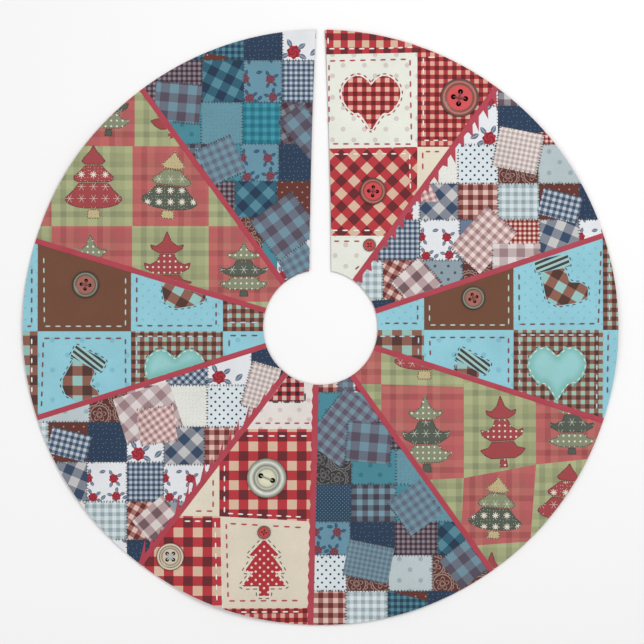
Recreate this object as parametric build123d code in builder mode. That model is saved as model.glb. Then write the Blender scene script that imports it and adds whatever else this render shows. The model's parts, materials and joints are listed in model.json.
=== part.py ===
from build123d import *
import math
import os

# A patchwork Christmas tree skirt, lying flat: ten wedge-shaped gores round a neck opening, with one open
# slit. Millimetres, +Z up. The origin is the centre of the neck opening at floor level, and the slit points
# along +Y, away from the room. Gores count clockwise from the slit, seen from above, and so do the angles.

# Plan size: a 44 inch skirt with an 8.5 inch neck opening.
RIM_RADIUS = 559.0
NECK_RADIUS = 108.0
SEAMS = (  # the angle of each seam's end at the neck, and of its end at the rim
    (36.4, 36.3),
    (73.6, 72.0),
    (110.6, 108.3),
    (147.0, 144.9),
    (184.5, 181.9),
    (216.8, 217.3),
    (251.5, 252.3),
    (286.9, 286.9),
    (320.0, 323.1),
)
GORES = len(SEAMS) + 1
SLIT_HALF_GAP = (20.5, 17.0, 9.0)  # at the neck, half way out, and at the rim
SEAM_CLEARANCE = 0.25

# Heights of the layers, from the floor up.
HEM_HEIGHT = 1.8
LINING_THICKNESS = 0.6
FACE_THICKNESS = 1.0
PATCH_THICKNESS = 0.6
LINING_LEVEL = HEM_HEIGHT
FACE_LEVEL = LINING_LEVEL + LINING_THICKNESS
PATCH_LEVEL = FACE_LEVEL + FACE_THICKNESS

# Hems and seam allowances, turned under all round except along the slit, which is faced flat.
SEAM_ALLOWANCE = 9.0
RIM_HEM = 16.0
NECK_HEM = 12.0
PAST_SLIT = -30.0

RIBBON_WIDTH = 10.0
SEWN_CLEARANCE = 0.4

# Hook-and-loop tabs that close the slit, folded away under the left flap.
TAB_RADII = (160.0, 335.0, 510.0)
TAB_LENGTH = 74.0
TAB_WIDTH = 24.0
TAB_PIVOT_LEVEL = 0.9
TAB_INSET = 1.5
STRAP_THICKNESS = 0.8
HOOK_LENGTH = 30.0
HOOK_THICKNESS = 0.6
LOOP_LENGTH = 42.0
LOOP_THICKNESS = 0.25
LOOP_START = 24.0

# Buttons: (name, holes, angle of the first hole, radius, centre x, centre y).
BUTTONS = (
    ("large_red_button", 4, -9.0, 36.0, 261.0, 431.0),
    ("middle_red_button", 4, -4.0, 25.0, 98.5, 255.5),
    ("small_red_button", 4, 45.0, 12.0, 92.0, 154.5),
    ("right_brown_button", 4, 20.0, 22.0, 287.0, 55.0),
    ("two_hole_cream_button", 2, -22.0, 37.0, -101.0, -283.0),
    ("four_hole_cream_button", 4, 45.0, 26.0, -282.0, -430.5),
    ("tree_top_button", 4, -8.0, 12.5, -106.0, -385.0),
    ("left_brown_button", 4, -8.0, 25.0, -441.0, 80.0),
)
BUTTON_THICKNESS = 3.0
BUTTON_HOLE_RING = 0.32  # how far out the holes are, as a share of the radius
BUTTON_HOLE_SIZE = 0.135

# Loose squares sewn over the patchwork: (gore, centre x, centre y, width, height, tilt), uppermost first.
LOOSE_PATCHES = (
    (2, 371.0, 332.0, 85.0, 76.0, -11.5),
    (2, 368.0, 132.0, 90.0, 50.0, 0.0),
    (2, 306.0, 164.0, 104.0, 76.0, 48.0),
    (2, 180.0, 84.0, 72.0, 66.0, 42.0),
    (2, 450.0, 228.0, 76.0, 50.0, -14.0),
    (5, 91.0, -216.0, 84.0, 76.0, -5.0),
    (5, 43.0, -187.0, 84.0, 126.0, -38.0),
    (5, 178.0, -339.0, 74.0, 76.0, 35.0),
    (5, 90.0, -440.0, 86.0, 68.0, -11.5),
    (5, 268.0, -446.0, 62.0, 68.0, 38.0),
    (6, -64.0, -112.0, 66.0, 54.0, 0.0),
    (7, -307.0, -184.0, 70.0, 68.0, 8.0),
    (7, -324.0, -160.0, 110.0, 88.0, 18.0),
    (7, -112.0, -112.0, 56.0, 86.0, -16.0),
    (7, -472.0, -220.0, 76.0, 50.0, -14.0),
    (7, -308.0, -360.0, 74.0, 54.0, 41.0),
    (10, -268.0, 422.0, 86.0, 74.0, -5.0),
    (10, -187.0, 313.0, 72.0, 74.0, 24.0),
    (10, -66.0, 190.0, 97.0, 92.0, 37.0),
    (10, -28.0, 368.0, 56.0, 92.0, 40.0),
    (10, -46.0, 128.0, 64.0, 58.0, 30.0),
)

# Appliques. Hearts: (name, gore, centre x, centre y, scale).
HEARTS = (
    ("gore_01_heart", 1, 95.0, 420.0, 0.98),
    ("gore_03_heart", 3, 444.0, -89.0, 0.98),
    ("gore_08_heart", 8, -273.0, -96.0, 1.03),
)

# Stockings: (name, gore, (ankle x, ankle y, tilt) of each).
STOCKINGS = (
    ("gore_03_stockings", 3, ((447.0, 88.0, 12.0), (275.0, -96.0, -28.0))),
    ("gore_08_stockings", 8, ((-447.0, -91.0, -28.0), (-270.0, 83.0, 12.0))),
)

# Trees: (name, gore, (kind, top x, top y, width share, height share, tilt) of each).
TREES = (
    (
        "gore_04_trees",
        4,
        (
            ("curled", 196.0, -124.0, 1.0, 1.0, 1.5),
            ("curled", 337.0, -126.0, 0.9, 0.92, 3.0),
            ("curled", 472.0, -124.0, 0.95, 0.77, 0.0),
            ("bell", 335.0, -278.0, 0.93, 0.86, -5.0),
            ("bell", 468.0, -254.0, 0.95, 0.92, -6.0),
            ("curled", 322.0, -419.0, 0.9, 0.9, -4.0),
            ("bell", 195.0, 34.0, 1.05, 0.95, 0.0),
        ),
    ),
    (
        "gore_09_trees",
        9,
        (
            ("bell", -426.0, 343.0, 1.0, 1.0, 0.0),
            ("bell", -273.0, 332.0, 0.98, 0.93, -6.5),
            ("curled", -398.0, 478.0, 0.85, 0.8, 0.0),
            ("curled", -279.0, 489.0, 0.85, 0.9, 0.0),
            ("curled", -432.0, 178.0, 0.95, 0.95, 0.0),
            ("curled", -288.0, 182.0, 0.98, 0.86, 0.0),
            ("curled", -144.0, 162.0, 1.0, 0.7, 0.0),
        ),
    ),
)
ZIGZAG_TREE = ("gore_06_tree", 6, -106.0, -398.0)

os.makedirs("parts", exist_ok=True)


def save(part, label):
    """Names a finished piece and writes it as its own STEP file."""
    part.label = label
    export_step(part, f"parts/{label}.step")


# ---------------------------------------------------------------- plan geometry


def polar(angle, radius):
    """The point at an angle and a radius."""
    turn = math.radians(angle)
    return Vector(radius * math.sin(turn), radius * math.cos(turn))


def beside_seam(number, radius, aside=0.0):
    """Where a line beside a seam, aside being positive clockwise of it, crosses a circle."""
    neck_angle, rim_angle = SEAMS[number - 1]
    start = polar(neck_angle, NECK_RADIUS)
    along = (polar(rim_angle, RIM_RADIUS) - start).normalized()
    base = start + Vector(along.Y, -along.X) * aside
    back = base.dot(along)
    return base + along * (math.sqrt(back**2 - base.dot(base) + radius**2) - back)


def half_gap(radius):
    """Half the width of the slit at a radius."""
    neck, middle, rim = SLIT_HALF_GAP
    share = 2 * (radius - NECK_RADIUS) / (RIM_RADIUS - NECK_RADIUS) - 1
    return middle + share * (rim - neck) / 2 + share**2 * ((neck + rim) / 2 - middle)


def beside_slit(side, radius, inset):
    """A point a little in from a slit edge, side being +1 on the right and -1 on the left."""
    x = half_gap(radius) + inset
    return Vector(side * x, math.sqrt(radius**2 - x**2))


def edge_of(number, side, inset, slit_inset, inner, outer):
    """Inner, middle and outer point of a gore's edge. Edge 0 and the last one are the slit's."""
    radii = (inner, (inner + outer) / 2, outer)
    if number in (0, GORES):
        return [beside_slit(side, radius, slit_inset) for radius in radii]
    return [beside_seam(number, radius, side * inset) for radius in radii]


def middle_angle(gore):
    """The angle half way across a gore."""
    angles = (0.0, *[rim_angle for _, rim_angle in SEAMS], 360.0)
    return (angles[gore - 1] + angles[gore]) / 2


def gore_outline(gore, inset=SEAM_CLEARANCE, slit_inset=0.0, inner=NECK_RADIUS, outer=RIM_RADIUS):
    """A gore's flat outline, drawn in by an inset at its seams and by another along the slit."""
    first = edge_of(gore - 1, 1, inset, slit_inset, inner, outer)
    last = edge_of(gore, -1, inset, slit_inset, inner, outer)
    with BuildSketch() as outline:
        with BuildLine():
            ThreePointArc(*first) if gore == 1 else Line(first[0], first[2])
            ThreePointArc(first[2], polar(middle_angle(gore), outer), last[2])
            ThreePointArc(*last) if gore == GORES else Line(last[0], last[2])
            ThreePointArc(last[0], polar(middle_angle(gore), inner), first[0])
        make_face()
    return outline.sketch


def sewing_area(gore):
    """Where something can be sewn on a gore: clear of the ribbons, the neck and the rim."""
    return gore_outline(
        gore,
        inset=RIBBON_WIDTH / 2 + SEWN_CLEARANCE,
        slit_inset=SEWN_CLEARANCE,
        inner=NECK_RADIUS + SEWN_CLEARANCE,
        outer=RIM_RADIUS - SEWN_CLEARANCE,
    )


AREAS = {gore: sewing_area(gore) for gore in range(1, GORES + 1)}


def placed(sketch, x, y, tilt=0.0):
    """A sketch drawn round its own origin, turned and moved to its place on the skirt."""
    return sketch.rotate(Axis.Z, tilt).translate((x, y, 0))


# ---------------------------------------------------------------- gores, linings and ribbons


def make_gore(gore):
    """The face cloth of one gore, and its lining with the hem and seam allowances turned under it."""
    outline = gore_outline(gore)
    hem_hole = gore_outline(
        gore,
        inset=SEAM_ALLOWANCE,
        slit_inset=PAST_SLIT,
        inner=NECK_RADIUS + NECK_HEM,
        outer=RIM_RADIUS - RIM_HEM,
    )
    with BuildPart() as face:
        with BuildSketch(Plane.XY.offset(FACE_LEVEL)):
            add(outline)
        extrude(amount=FACE_THICKNESS)
    save(face.part, f"gore_{gore:02d}_face")

    with BuildPart() as lining:
        with BuildSketch(Plane.XY.offset(LINING_LEVEL)):
            add(outline)
        extrude(amount=LINING_THICKNESS)
        with BuildSketch(Plane.XY):
            add(outline)
            add(hem_hole, mode=Mode.SUBTRACT)
        extrude(amount=HEM_HEIGHT)
    save(lining.part, f"gore_{gore:02d}_lining")


def make_ribbon(number):
    """The red ribbon sewn over one seam."""
    half = RIBBON_WIDTH / 2
    corners = (
        beside_seam(number, NECK_RADIUS, -half),
        beside_seam(number, RIM_RADIUS, -half),
        beside_seam(number, RIM_RADIUS, half),
        beside_seam(number, NECK_RADIUS, half),
    )
    with BuildPart() as ribbon:
        with BuildSketch(Plane.XY.offset(PATCH_LEVEL)):
            with BuildLine():
                Polyline(*corners, close=True)
            make_face()
        extrude(amount=PATCH_THICKNESS)
    save(ribbon.part, f"seam_{number:02d}_ribbon")


# ---------------------------------------------------------------- things sewn on the face


def cut_to_gore(gore, outlines):
    """The outlines, less whatever lies off the gore's sewing area or under an earlier outline."""
    kept = []
    for number, outline in enumerate(outlines):
        pieces = (outline & AREAS[gore]).faces()
        for earlier in outlines[:number]:
            cover = offset(earlier, SEWN_CLEARANCE)
            pieces = [left for piece in pieces for left in (Sketch() + piece - cover).faces()]
        kept.extend(pieces)
    return kept


def sewn_on(gore, outlines, label):
    """Cloth shapes sewn on one gore, each cut where it meets a ribbon, the rim or a shape before it."""
    shapes = cut_to_gore(gore, outlines)
    with BuildPart() as group:
        with BuildSketch(Plane.XY.offset(PATCH_LEVEL)):
            add(shapes)
        extrude(amount=PATCH_THICKNESS)
    save(group.part, label)


def rectangle(width, height):
    with BuildSketch() as shape:
        Rectangle(width, height)
    return shape.sketch


def heart():
    """A heart 112 wide and 106 high round its middle."""
    right_side = ((0, 35), (29, 53), (56, 20), (33, -18), (0, -53))
    with BuildSketch() as shape:
        with BuildLine():
            Spline(*right_side, tangents=((0.75, 1), (-0.55, -1)))
            Spline(*[(-x, y) for x, y in right_side], tangents=((-0.75, 1), (0.55, -1)))
        make_face()
    return shape.sketch


def rounded(points, radius):
    """A closed outline through points, with every corner rounded."""
    with BuildSketch() as shape:
        with BuildLine():
            Polyline(*points, close=True)
        make_face()
        fillet(shape.vertices(), radius)
    return shape.sketch


def mirrored(right_side, wide=1.0, high=1.0):
    """The points of a left-right symmetrical outline, from those of its right side, top to bottom."""
    right = [(x * wide, y * high) for x, y in right_side]
    return [*right, *[(-x, y) for x, y in reversed(right) if x > 0]]


def stocking():
    """Cuff and boot of a Christmas stocking, toe to the right."""
    cuff = rounded(((-37, 22), (27, 22), (27, 46), (-37, 46)), 1.5)
    boot = rounded(
        ((-29, 21), (17, 21), (19, -8), (38, -12), (51, -24), (46, -43), (20, -48), (-12, -46), (-30, -30)),
        7.0,
    )
    return [cuff, boot]


# The right side of each tier and of the trunk, from the top down, and how far its corners are rounded.
TREE_TIERS = {
    "bell": (
        (((0, 0), (7, -12), (17, -23), (23, -31), (17, -37), (9, -38)), 1.4),
        (((16, -39), (24, -48), (38, -60), (37, -67), (28, -71)), 1.8),
        (((28, -72), (38, -85), (53, -99), (54, -105), (45, -113), (30, -118), (14, -120)), 2.0),
        (((11, -121), (13, -139)), 1.0),
    ),
    "curled": (
        (((0, 0), (9, -24), (21, -34), (33, -30), (30, -41), (15, -50)), 1.4),
        (((14, -51), (20, -66), (33, -74), (46, -69), (42, -84), (24, -95)), 1.8),
        (((23, -96), (30, -107), (49, -112), (38, -124), (25, -131)), 1.8),
        (((7, -132), (9, -149)), 1.0),
    ),
}


def tree(kind, wide, high):
    """The three tiers and the trunk of a tree, its top at the origin."""
    return [rounded(mirrored(side, wide, high), radius) for side, radius in TREE_TIERS[kind]]


def zigzag_tree():
    """A plain tree of three stacked triangles on a trunk."""
    right_side = (
        (0, 0),
        (29, -31),
        (16, -31),
        (37, -60),
        (19, -60),
        (43, -88),
        (9.5, -88),
        (9.5, -106),
    )
    return rounded(mirrored(right_side), 0.8)


# ---------------------------------------------------------------- buttons


def button_profile(radius):
    """Half of a button's cross-section, standing on its flat back: a rounded lip round a shallow dish."""
    dish = BUTTON_THICKNESS * 0.6
    corners = (
        (0, 0),
        (radius, 0),
        (radius, BUTTON_THICKNESS),
        (radius * 0.8, BUTTON_THICKNESS),
        (radius * 0.7, dish),
        (0, dish),
    )
    with BuildSketch(Plane.XZ) as profile:
        with BuildLine():
            Polyline(*corners, close=True)
        make_face()
        lip = profile.vertices().filter_by(lambda corner: corner.X > radius * 0.75)
        fillet(lip, BUTTON_THICKNESS * 0.3)
    return profile.sketch


def make_button(label, holes, first_hole, radius, x, y):
    """A dished button standing on the face cloth, with holes for its thread."""
    profile = button_profile(radius)
    with BuildPart() as button:
        add(profile)
        revolve(axis=Axis.Z)
        with PolarLocations(radius * BUTTON_HOLE_RING, holes, start_angle=first_hole):
            Hole(radius * BUTTON_HOLE_SIZE)
    save(button.part.translate((x, y, PATCH_LEVEL)), label)


# ---------------------------------------------------------------- slit closure


def make_tab(number, radius):
    """One closing tab: a cloth strap with a hook patch, folded back under the left flap."""
    pivot = -half_gap(radius) - TAB_INSET
    with BuildPart() as strap:
        with BuildSketch(Plane.XY.offset(TAB_PIVOT_LEVEL)):
            with Locations((pivot - TAB_LENGTH / 2, radius)):
                RectangleRounded(TAB_LENGTH, TAB_WIDTH, 3.0)
        extrude(amount=STRAP_THICKNESS)
    save(strap.part, f"tab_{number}_strap")

    with BuildPart() as hooks:
        with BuildSketch(Plane.XY.offset(TAB_PIVOT_LEVEL - HOOK_THICKNESS)):
            with Locations((pivot - TAB_LENGTH + HOOK_LENGTH / 2 + 2.0, radius)):
                Rectangle(HOOK_LENGTH, TAB_WIDTH - 4.0)
        extrude(amount=HOOK_THICKNESS)
    save(hooks.part, f"tab_{number}_hooks")


def make_loops():
    """The three loop patches under the right flap, facing the floor."""
    with BuildPart() as loops:
        with BuildSketch(Plane.XY.offset(LINING_LEVEL - LOOP_THICKNESS)):
            with Locations(*[(LOOP_START + LOOP_LENGTH / 2, radius) for radius in TAB_RADII]):
                Rectangle(LOOP_LENGTH, TAB_WIDTH)
        extrude(amount=LOOP_THICKNESS)
    save(loops.part, "loop_patches")


# ---------------------------------------------------------------- the whole skirt

for gore in range(1, GORES + 1):
    make_gore(gore)

for number in range(1, GORES):
    make_ribbon(number)

for gore in sorted({patch[0] for patch in LOOSE_PATCHES}):
    squares = [
        placed(rectangle(width, height), x, y, tilt)
        for home, x, y, width, height, tilt in LOOSE_PATCHES
        if home == gore
    ]
    sewn_on(gore, squares, f"gore_{gore:02d}_loose_patches")

for label, gore, x, y, scale in HEARTS:
    sewn_on(gore, [placed(heart().scale(scale), x, y)], label)

for label, gore, places in STOCKINGS:
    shapes = [placed(piece, x, y, tilt) for x, y, tilt in places for piece in stocking()]
    sewn_on(gore, shapes, label)

for label, gore, trees in TREES:
    shapes = [
        placed(tier, x, y, tilt)
        for kind, x, y, wide, high, tilt in trees
        for tier in tree(kind, wide, high)
    ]
    sewn_on(gore, shapes, label)

label, gore, x, y = ZIGZAG_TREE
sewn_on(gore, [placed(zigzag_tree(), x, y)], label)

for button in BUTTONS:
    make_button(*button)

for number, radius in enumerate(TAB_RADII, start=1):
    make_tab(number, radius)
make_loops()
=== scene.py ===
"""The looks of a patchwork Christmas tree skirt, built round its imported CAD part.

The plan outlines of the gores, ribbons and sewn-on shapes are read from the CAD nodes. Every sheet of
cloth is cut from its outline, draped, puffed between its seams and given woven, printed cotton. Lengths are
in metres. The tables of places on the skirt are in millimetres, and place() converts them.
"""

import json
import math
import random

import bpy
import numpy as np
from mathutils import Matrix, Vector, kdtree
from mathutils.bvhtree import BVHTree
from mathutils.geometry import delaunay_2d_cdt


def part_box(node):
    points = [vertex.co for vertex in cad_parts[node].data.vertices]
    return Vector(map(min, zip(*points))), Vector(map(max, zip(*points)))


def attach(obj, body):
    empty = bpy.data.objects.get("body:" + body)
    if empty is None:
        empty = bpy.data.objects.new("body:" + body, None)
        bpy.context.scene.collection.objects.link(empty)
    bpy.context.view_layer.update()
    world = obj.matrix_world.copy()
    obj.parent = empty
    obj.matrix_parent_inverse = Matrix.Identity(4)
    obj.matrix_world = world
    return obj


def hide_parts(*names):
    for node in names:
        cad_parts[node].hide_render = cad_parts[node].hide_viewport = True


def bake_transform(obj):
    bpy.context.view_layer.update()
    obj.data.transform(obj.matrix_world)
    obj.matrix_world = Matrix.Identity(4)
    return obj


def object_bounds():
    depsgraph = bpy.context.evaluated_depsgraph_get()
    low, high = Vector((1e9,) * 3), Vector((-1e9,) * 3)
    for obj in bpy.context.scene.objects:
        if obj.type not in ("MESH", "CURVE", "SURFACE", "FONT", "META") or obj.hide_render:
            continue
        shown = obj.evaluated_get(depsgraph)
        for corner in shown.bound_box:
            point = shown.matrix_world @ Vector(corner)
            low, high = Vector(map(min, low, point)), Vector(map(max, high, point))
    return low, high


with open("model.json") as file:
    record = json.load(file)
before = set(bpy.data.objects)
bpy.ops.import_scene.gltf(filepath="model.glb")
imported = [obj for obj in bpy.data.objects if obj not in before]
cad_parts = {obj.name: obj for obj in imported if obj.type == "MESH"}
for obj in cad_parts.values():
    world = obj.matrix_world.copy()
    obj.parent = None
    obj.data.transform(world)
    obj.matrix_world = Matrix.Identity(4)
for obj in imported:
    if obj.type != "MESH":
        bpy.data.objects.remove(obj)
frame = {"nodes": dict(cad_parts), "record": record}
CAD_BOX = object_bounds()

MM = 0.001
GORES = 10
NECK_RADIUS = frame["record"]["mounts"][0]["dims"]["r_mm"] * MM
RIM_RADIUS = (CAD_BOX[1].x - CAD_BOX[0].x) / 2
BODY_OF = {node: body for body, nodes in frame["record"]["behaviour"]["bodies"].items() for node in nodes}

# Heights of the cloth layers, read from the CAD.
FACE_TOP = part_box("gore_01_face")[1].z
FACE_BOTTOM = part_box("gore_01_face")[0].z

# Drape: how far the limp cloth rises between the seams, and how it cockles.
DRAPE_RISE = 5.0 * MM
SLIT_RISE = 0.7 * MM
COCKLE = 0.9 * MM

# Relief of the patchwork: a seam lies lower, and the cloth is full this far from it.
SEAM_DEPTH = 0.8 * MM
PUFF = 0.3 * MM
PUFF_REACH = 5.0 * MM
MESH_STEP = 6.0 * MM
SHAPE_STEP = 4.0 * MM

# The cloth is pressed flat up to the first distance from a button, and rises over the second.
BUTTON_PRESS = 3.0 * MM
FLAT_MARGIN = 40.0 * MM

EDGE_WIDTH = 2.5 * MM  # how far in from its edge a sewn-on shape is turned down
SHARP_ANGLE = 50.0  # degrees between faces past which an edge is drawn sharp


# ---------------------------------------------------------------- plan geometry


def place(x, y):
    """A plan point given in millimetres."""
    return Vector((x * MM, y * MM))


def turned(point, degrees):
    """A plan point turned anticlockwise about the origin."""
    c, s = math.cos(math.radians(degrees)), math.sin(math.radians(degrees))
    return Vector((point.x * c - point.y * s, point.x * s + point.y * c))


def rectangle(x, y, width, height, tilt=0.0):
    """The corners of a rectangle about a centre, in millimetres."""
    corners = ((-1, -1), (1, -1), (1, 1), (-1, 1))
    return [place(x, y) + turned(place(i * width / 2, j * height / 2), tilt) for i, j in corners]


def top_loops(node, level=None):
    """The outlines of a CAD node's upward faces at a level, or at its top: closed loops of plan points."""
    mesh = frame["nodes"][node].data
    if level is None:
        level = max(v.co.z for v in mesh.vertices)
    spot = [(round(v.co.x, 6), round(v.co.y, 6)) for v in mesh.vertices]
    found = [abs(v.co.z - level) < 1e-5 for v in mesh.vertices]
    steps = set()
    for face in mesh.polygons:
        if all(found[i] for i in face.vertices) and face.normal.z > 0.9:
            ring = [spot[i] for i in face.vertices]
            steps.update((a, b) for a, b in zip(ring, ring[1:] + ring[:1]) if a != b)
    after = {a: b for a, b in steps if (b, a) not in steps}
    loops = []
    while after:
        first, here = after.popitem()
        loop = [Vector(first), Vector(here)]
        while here != first:
            here = after.pop(here)
            loop.append(Vector(here))
        loops.append(loop[:-1])
    return sorted(loops, key=lambda loop: (-round(middle(loop).y, 4), round(middle(loop).x, 4)))


def middle(points):
    return sum(points, Vector((0, 0))) / len(points)


def ends_of_ribbon(number):
    """Where a seam meets the neck and the rim, from the CAD ribbon over it."""
    loop = sorted(top_loops(f"seam_{number:02d}_ribbon")[0], key=lambda p: p.length)
    return middle(loop[:2]), middle(loop[-2:])


SEAMS = {number: ends_of_ribbon(number) for number in range(1, GORES)}
SLIT_LINE = (Vector((0, NECK_RADIUS)), Vector((0, RIM_RADIUS)))
GORE_LOOPS = {gore: top_loops(f"gore_{gore:02d}_face")[0] for gore in range(1, GORES + 1)}


def aside(line, points):
    """How far plan points lie clockwise of a line running outward."""
    along = (line[1] - line[0]).normalized()
    return (points[:, 0] - line[0].x) * along.y - (points[:, 1] - line[0].y) * along.x


def smooth(share):
    share = np.clip(share, 0.0, 1.0)
    return share * share * (3 - 2 * share)


BUTTONS = {}
for node_name in frame["nodes"]:
    if node_name.endswith("button"):
        low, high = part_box(node_name)
        BUTTONS[node_name] = ((low + high) / 2, (high.x - low.x) / 2)


def drape(points):
    """How far the cloth stands above the flat pattern, nothing along the seams and round the buttons."""
    points = np.asarray(points, float).reshape(-1, 2)
    radius = np.hypot(points[:, 0], points[:, 1])
    angle = np.degrees(np.arctan2(points[:, 0], points[:, 1])) % 360.0
    gore = np.clip((angle // 36).astype(int) + 1, 1, GORES)
    rise = np.zeros(len(points))
    lines = {0: SLIT_LINE, GORES: SLIT_LINE, **SEAMS}
    for number in range(1, GORES + 1):
        before = aside(lines[number - 1], points)
        after = -aside(lines[number], points)
        inside = (np.abs(gore - number) <= 1) & (before >= 0) & (after >= 0)
        share = before / np.maximum(before + after, 1e-6)
        if number == 1:
            share = 0.5 + share / 2
        if number == GORES:
            share = share / 2
        hill = np.sin(np.pi * share) ** 2
        strength = DRAPE_RISE * (0.7 + 0.3 * math.sin(number * 2.4))
        if number in (1, GORES):
            strength = SLIT_RISE
        outward = (radius / RIM_RADIUS) ** 2
        swell = 0.75 + 0.25 * np.sin(radius * 19.0 + number * 1.7)
        rise = np.where(inside, strength * hill * outward * swell, rise)
        rise += np.where(inside, COCKLE * hill * cockle(points, number), 0.0)
    for centre, size in BUTTONS.values():
        gap = np.hypot(points[:, 0] - centre.x, points[:, 1] - centre.y) - size - BUTTON_PRESS
        rise = rise * smooth(gap / FLAT_MARGIN)
    return rise


def cockle(points, number):
    """Small soft creases, between 0 and 1, different in each gore."""
    x, y = points[:, 0], points[:, 1]
    wave = np.sin(31 * x + 17 * y + number) * np.sin(23 * y - 13 * x + 2 * number)
    fine = np.sin(67 * x - 41 * y + 3 * number) * np.sin(59 * y + 37 * x)
    return 0.5 + 0.35 * wave + 0.15 * fine


def inside(points, polygon):
    """Which of the points lie inside a polygon."""
    hits = np.zeros(len(points), bool)
    x, y = points[:, 0], points[:, 1]
    for a, b in zip(polygon, polygon[1:] + polygon[:1]):
        crosses = (a.y > y) != (b.y > y)
        if abs(b.y - a.y) > 1e-12:
            hits ^= crosses & (x < a.x + (y - a.y) * (b.x - a.x) / (b.y - a.y))
    return hits


def resampled(points, step, closed=True):
    """Points along a line, no more than a step apart, keeping its corners."""
    ends = points[1:] + points[:1] if closed else points[1:]
    made = []
    for a, b in zip(points, ends):
        count = max(1, math.ceil((b - a).length / step))
        made.extend(a.lerp(b, i / count) for i in range(count))
    return made if closed else made + [points[-1]]


def softened(loop, passes):
    """An outline with its corners rounded off."""
    points = resampled(loop, SHAPE_STEP)
    for _ in range(passes):
        neighbours = zip(points[-1:] + points[:-1], points, points[1:] + points[:1])
        points = [(a + 2 * b + c) / 4 for a, b, c in neighbours]
    return points


# ---------------------------------------------------------------- cloth


class Cloth:
    """One fabric laid on part of a sheet: what it is, the area it covers, and how its print is turned."""

    def __init__(self, fabric, area, turn=0.0, start=None):
        self.fabric = fabric
        self.area = area
        self.turn = turn
        self.start = start if start else middle(area)


def sheet(name, outline, cloths, level, thickness, step, puff=PUFF, depth=SEAM_DEPTH, edge_drop=0.0,
          edge_width=EDGE_WIDTH):
    """A closed, draped sheet of cloth. The cloths lie on it in order, and it sinks where they meet."""
    border = resampled(outline, step)
    points = list(border)
    edges = [(i, (i + 1) % len(border)) for i in range(len(border))]
    for cloth in cloths:
        if cloth.area is outline:
            continue
        ring = resampled(cloth.area, step)
        start = len(points)
        points.extend(ring)
        edges.extend((start + i, start + (i + 1) % len(ring)) for i in range(len(ring)))
    fixed = kdtree.KDTree(len(points))
    for i, p in enumerate(points):
        fixed.insert((p.x, p.y, 0), i)
    fixed.balance()
    for p in grid_points(outline, step):
        if fixed.find((p.x, p.y, 0))[2] > step * 0.45:
            points.append(p)
    verts, _, faces, *_ = delaunay_2d_cdt(points, edges, [], 0, 1e-6)
    plan = np.array([(v.x, v.y) for v in verts])
    faces = [f for f in faces if len(f) == 3]
    centres = plan[np.array(faces)].mean(axis=1)
    wanted = inside(centres, outline)
    faces = [f for f, keep in zip(faces, wanted) if keep]
    centres = centres[wanted]
    used = sorted({i for f in faces for i in f})
    renumber = {old: new for new, old in enumerate(used)}
    plan = plan[used]
    faces = [tuple(renumber[i] for i in f) for f in faces]
    faces = [f if area_of(plan, f) > 0 else f[::-1] for f in faces]
    owner = np.zeros(len(faces), int)
    for number, cloth in enumerate(cloths):
        owner[inside(centres, cloth.area)] = number
    return closed_mesh(name, plan, faces, owner, cloths, level, thickness, puff, depth, edge_drop, edge_width)


def area_of(plan, face):
    a, b, c = (plan[i] for i in face)
    return (b[0] - a[0]) * (c[1] - a[1]) - (b[1] - a[1]) * (c[0] - a[0])


def grid_points(outline, step):
    """A triangular grid of points inside an outline."""
    low = Vector((min(p.x for p in outline), min(p.y for p in outline)))
    high = Vector((max(p.x for p in outline), max(p.y for p in outline)))
    rise = step * math.sqrt(0.75)
    rows = range(int((high.y - low.y) / rise) + 1)
    made = [
        (low.x + (i + 0.5 * (j % 2)) * step, low.y + j * rise)
        for j in rows
        for i in range(int((high.x - low.x) / step) + 1)
    ]
    if not made:
        return []
    made = np.array(made)
    return [Vector(p) for p in made[inside(made, outline)]]


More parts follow.
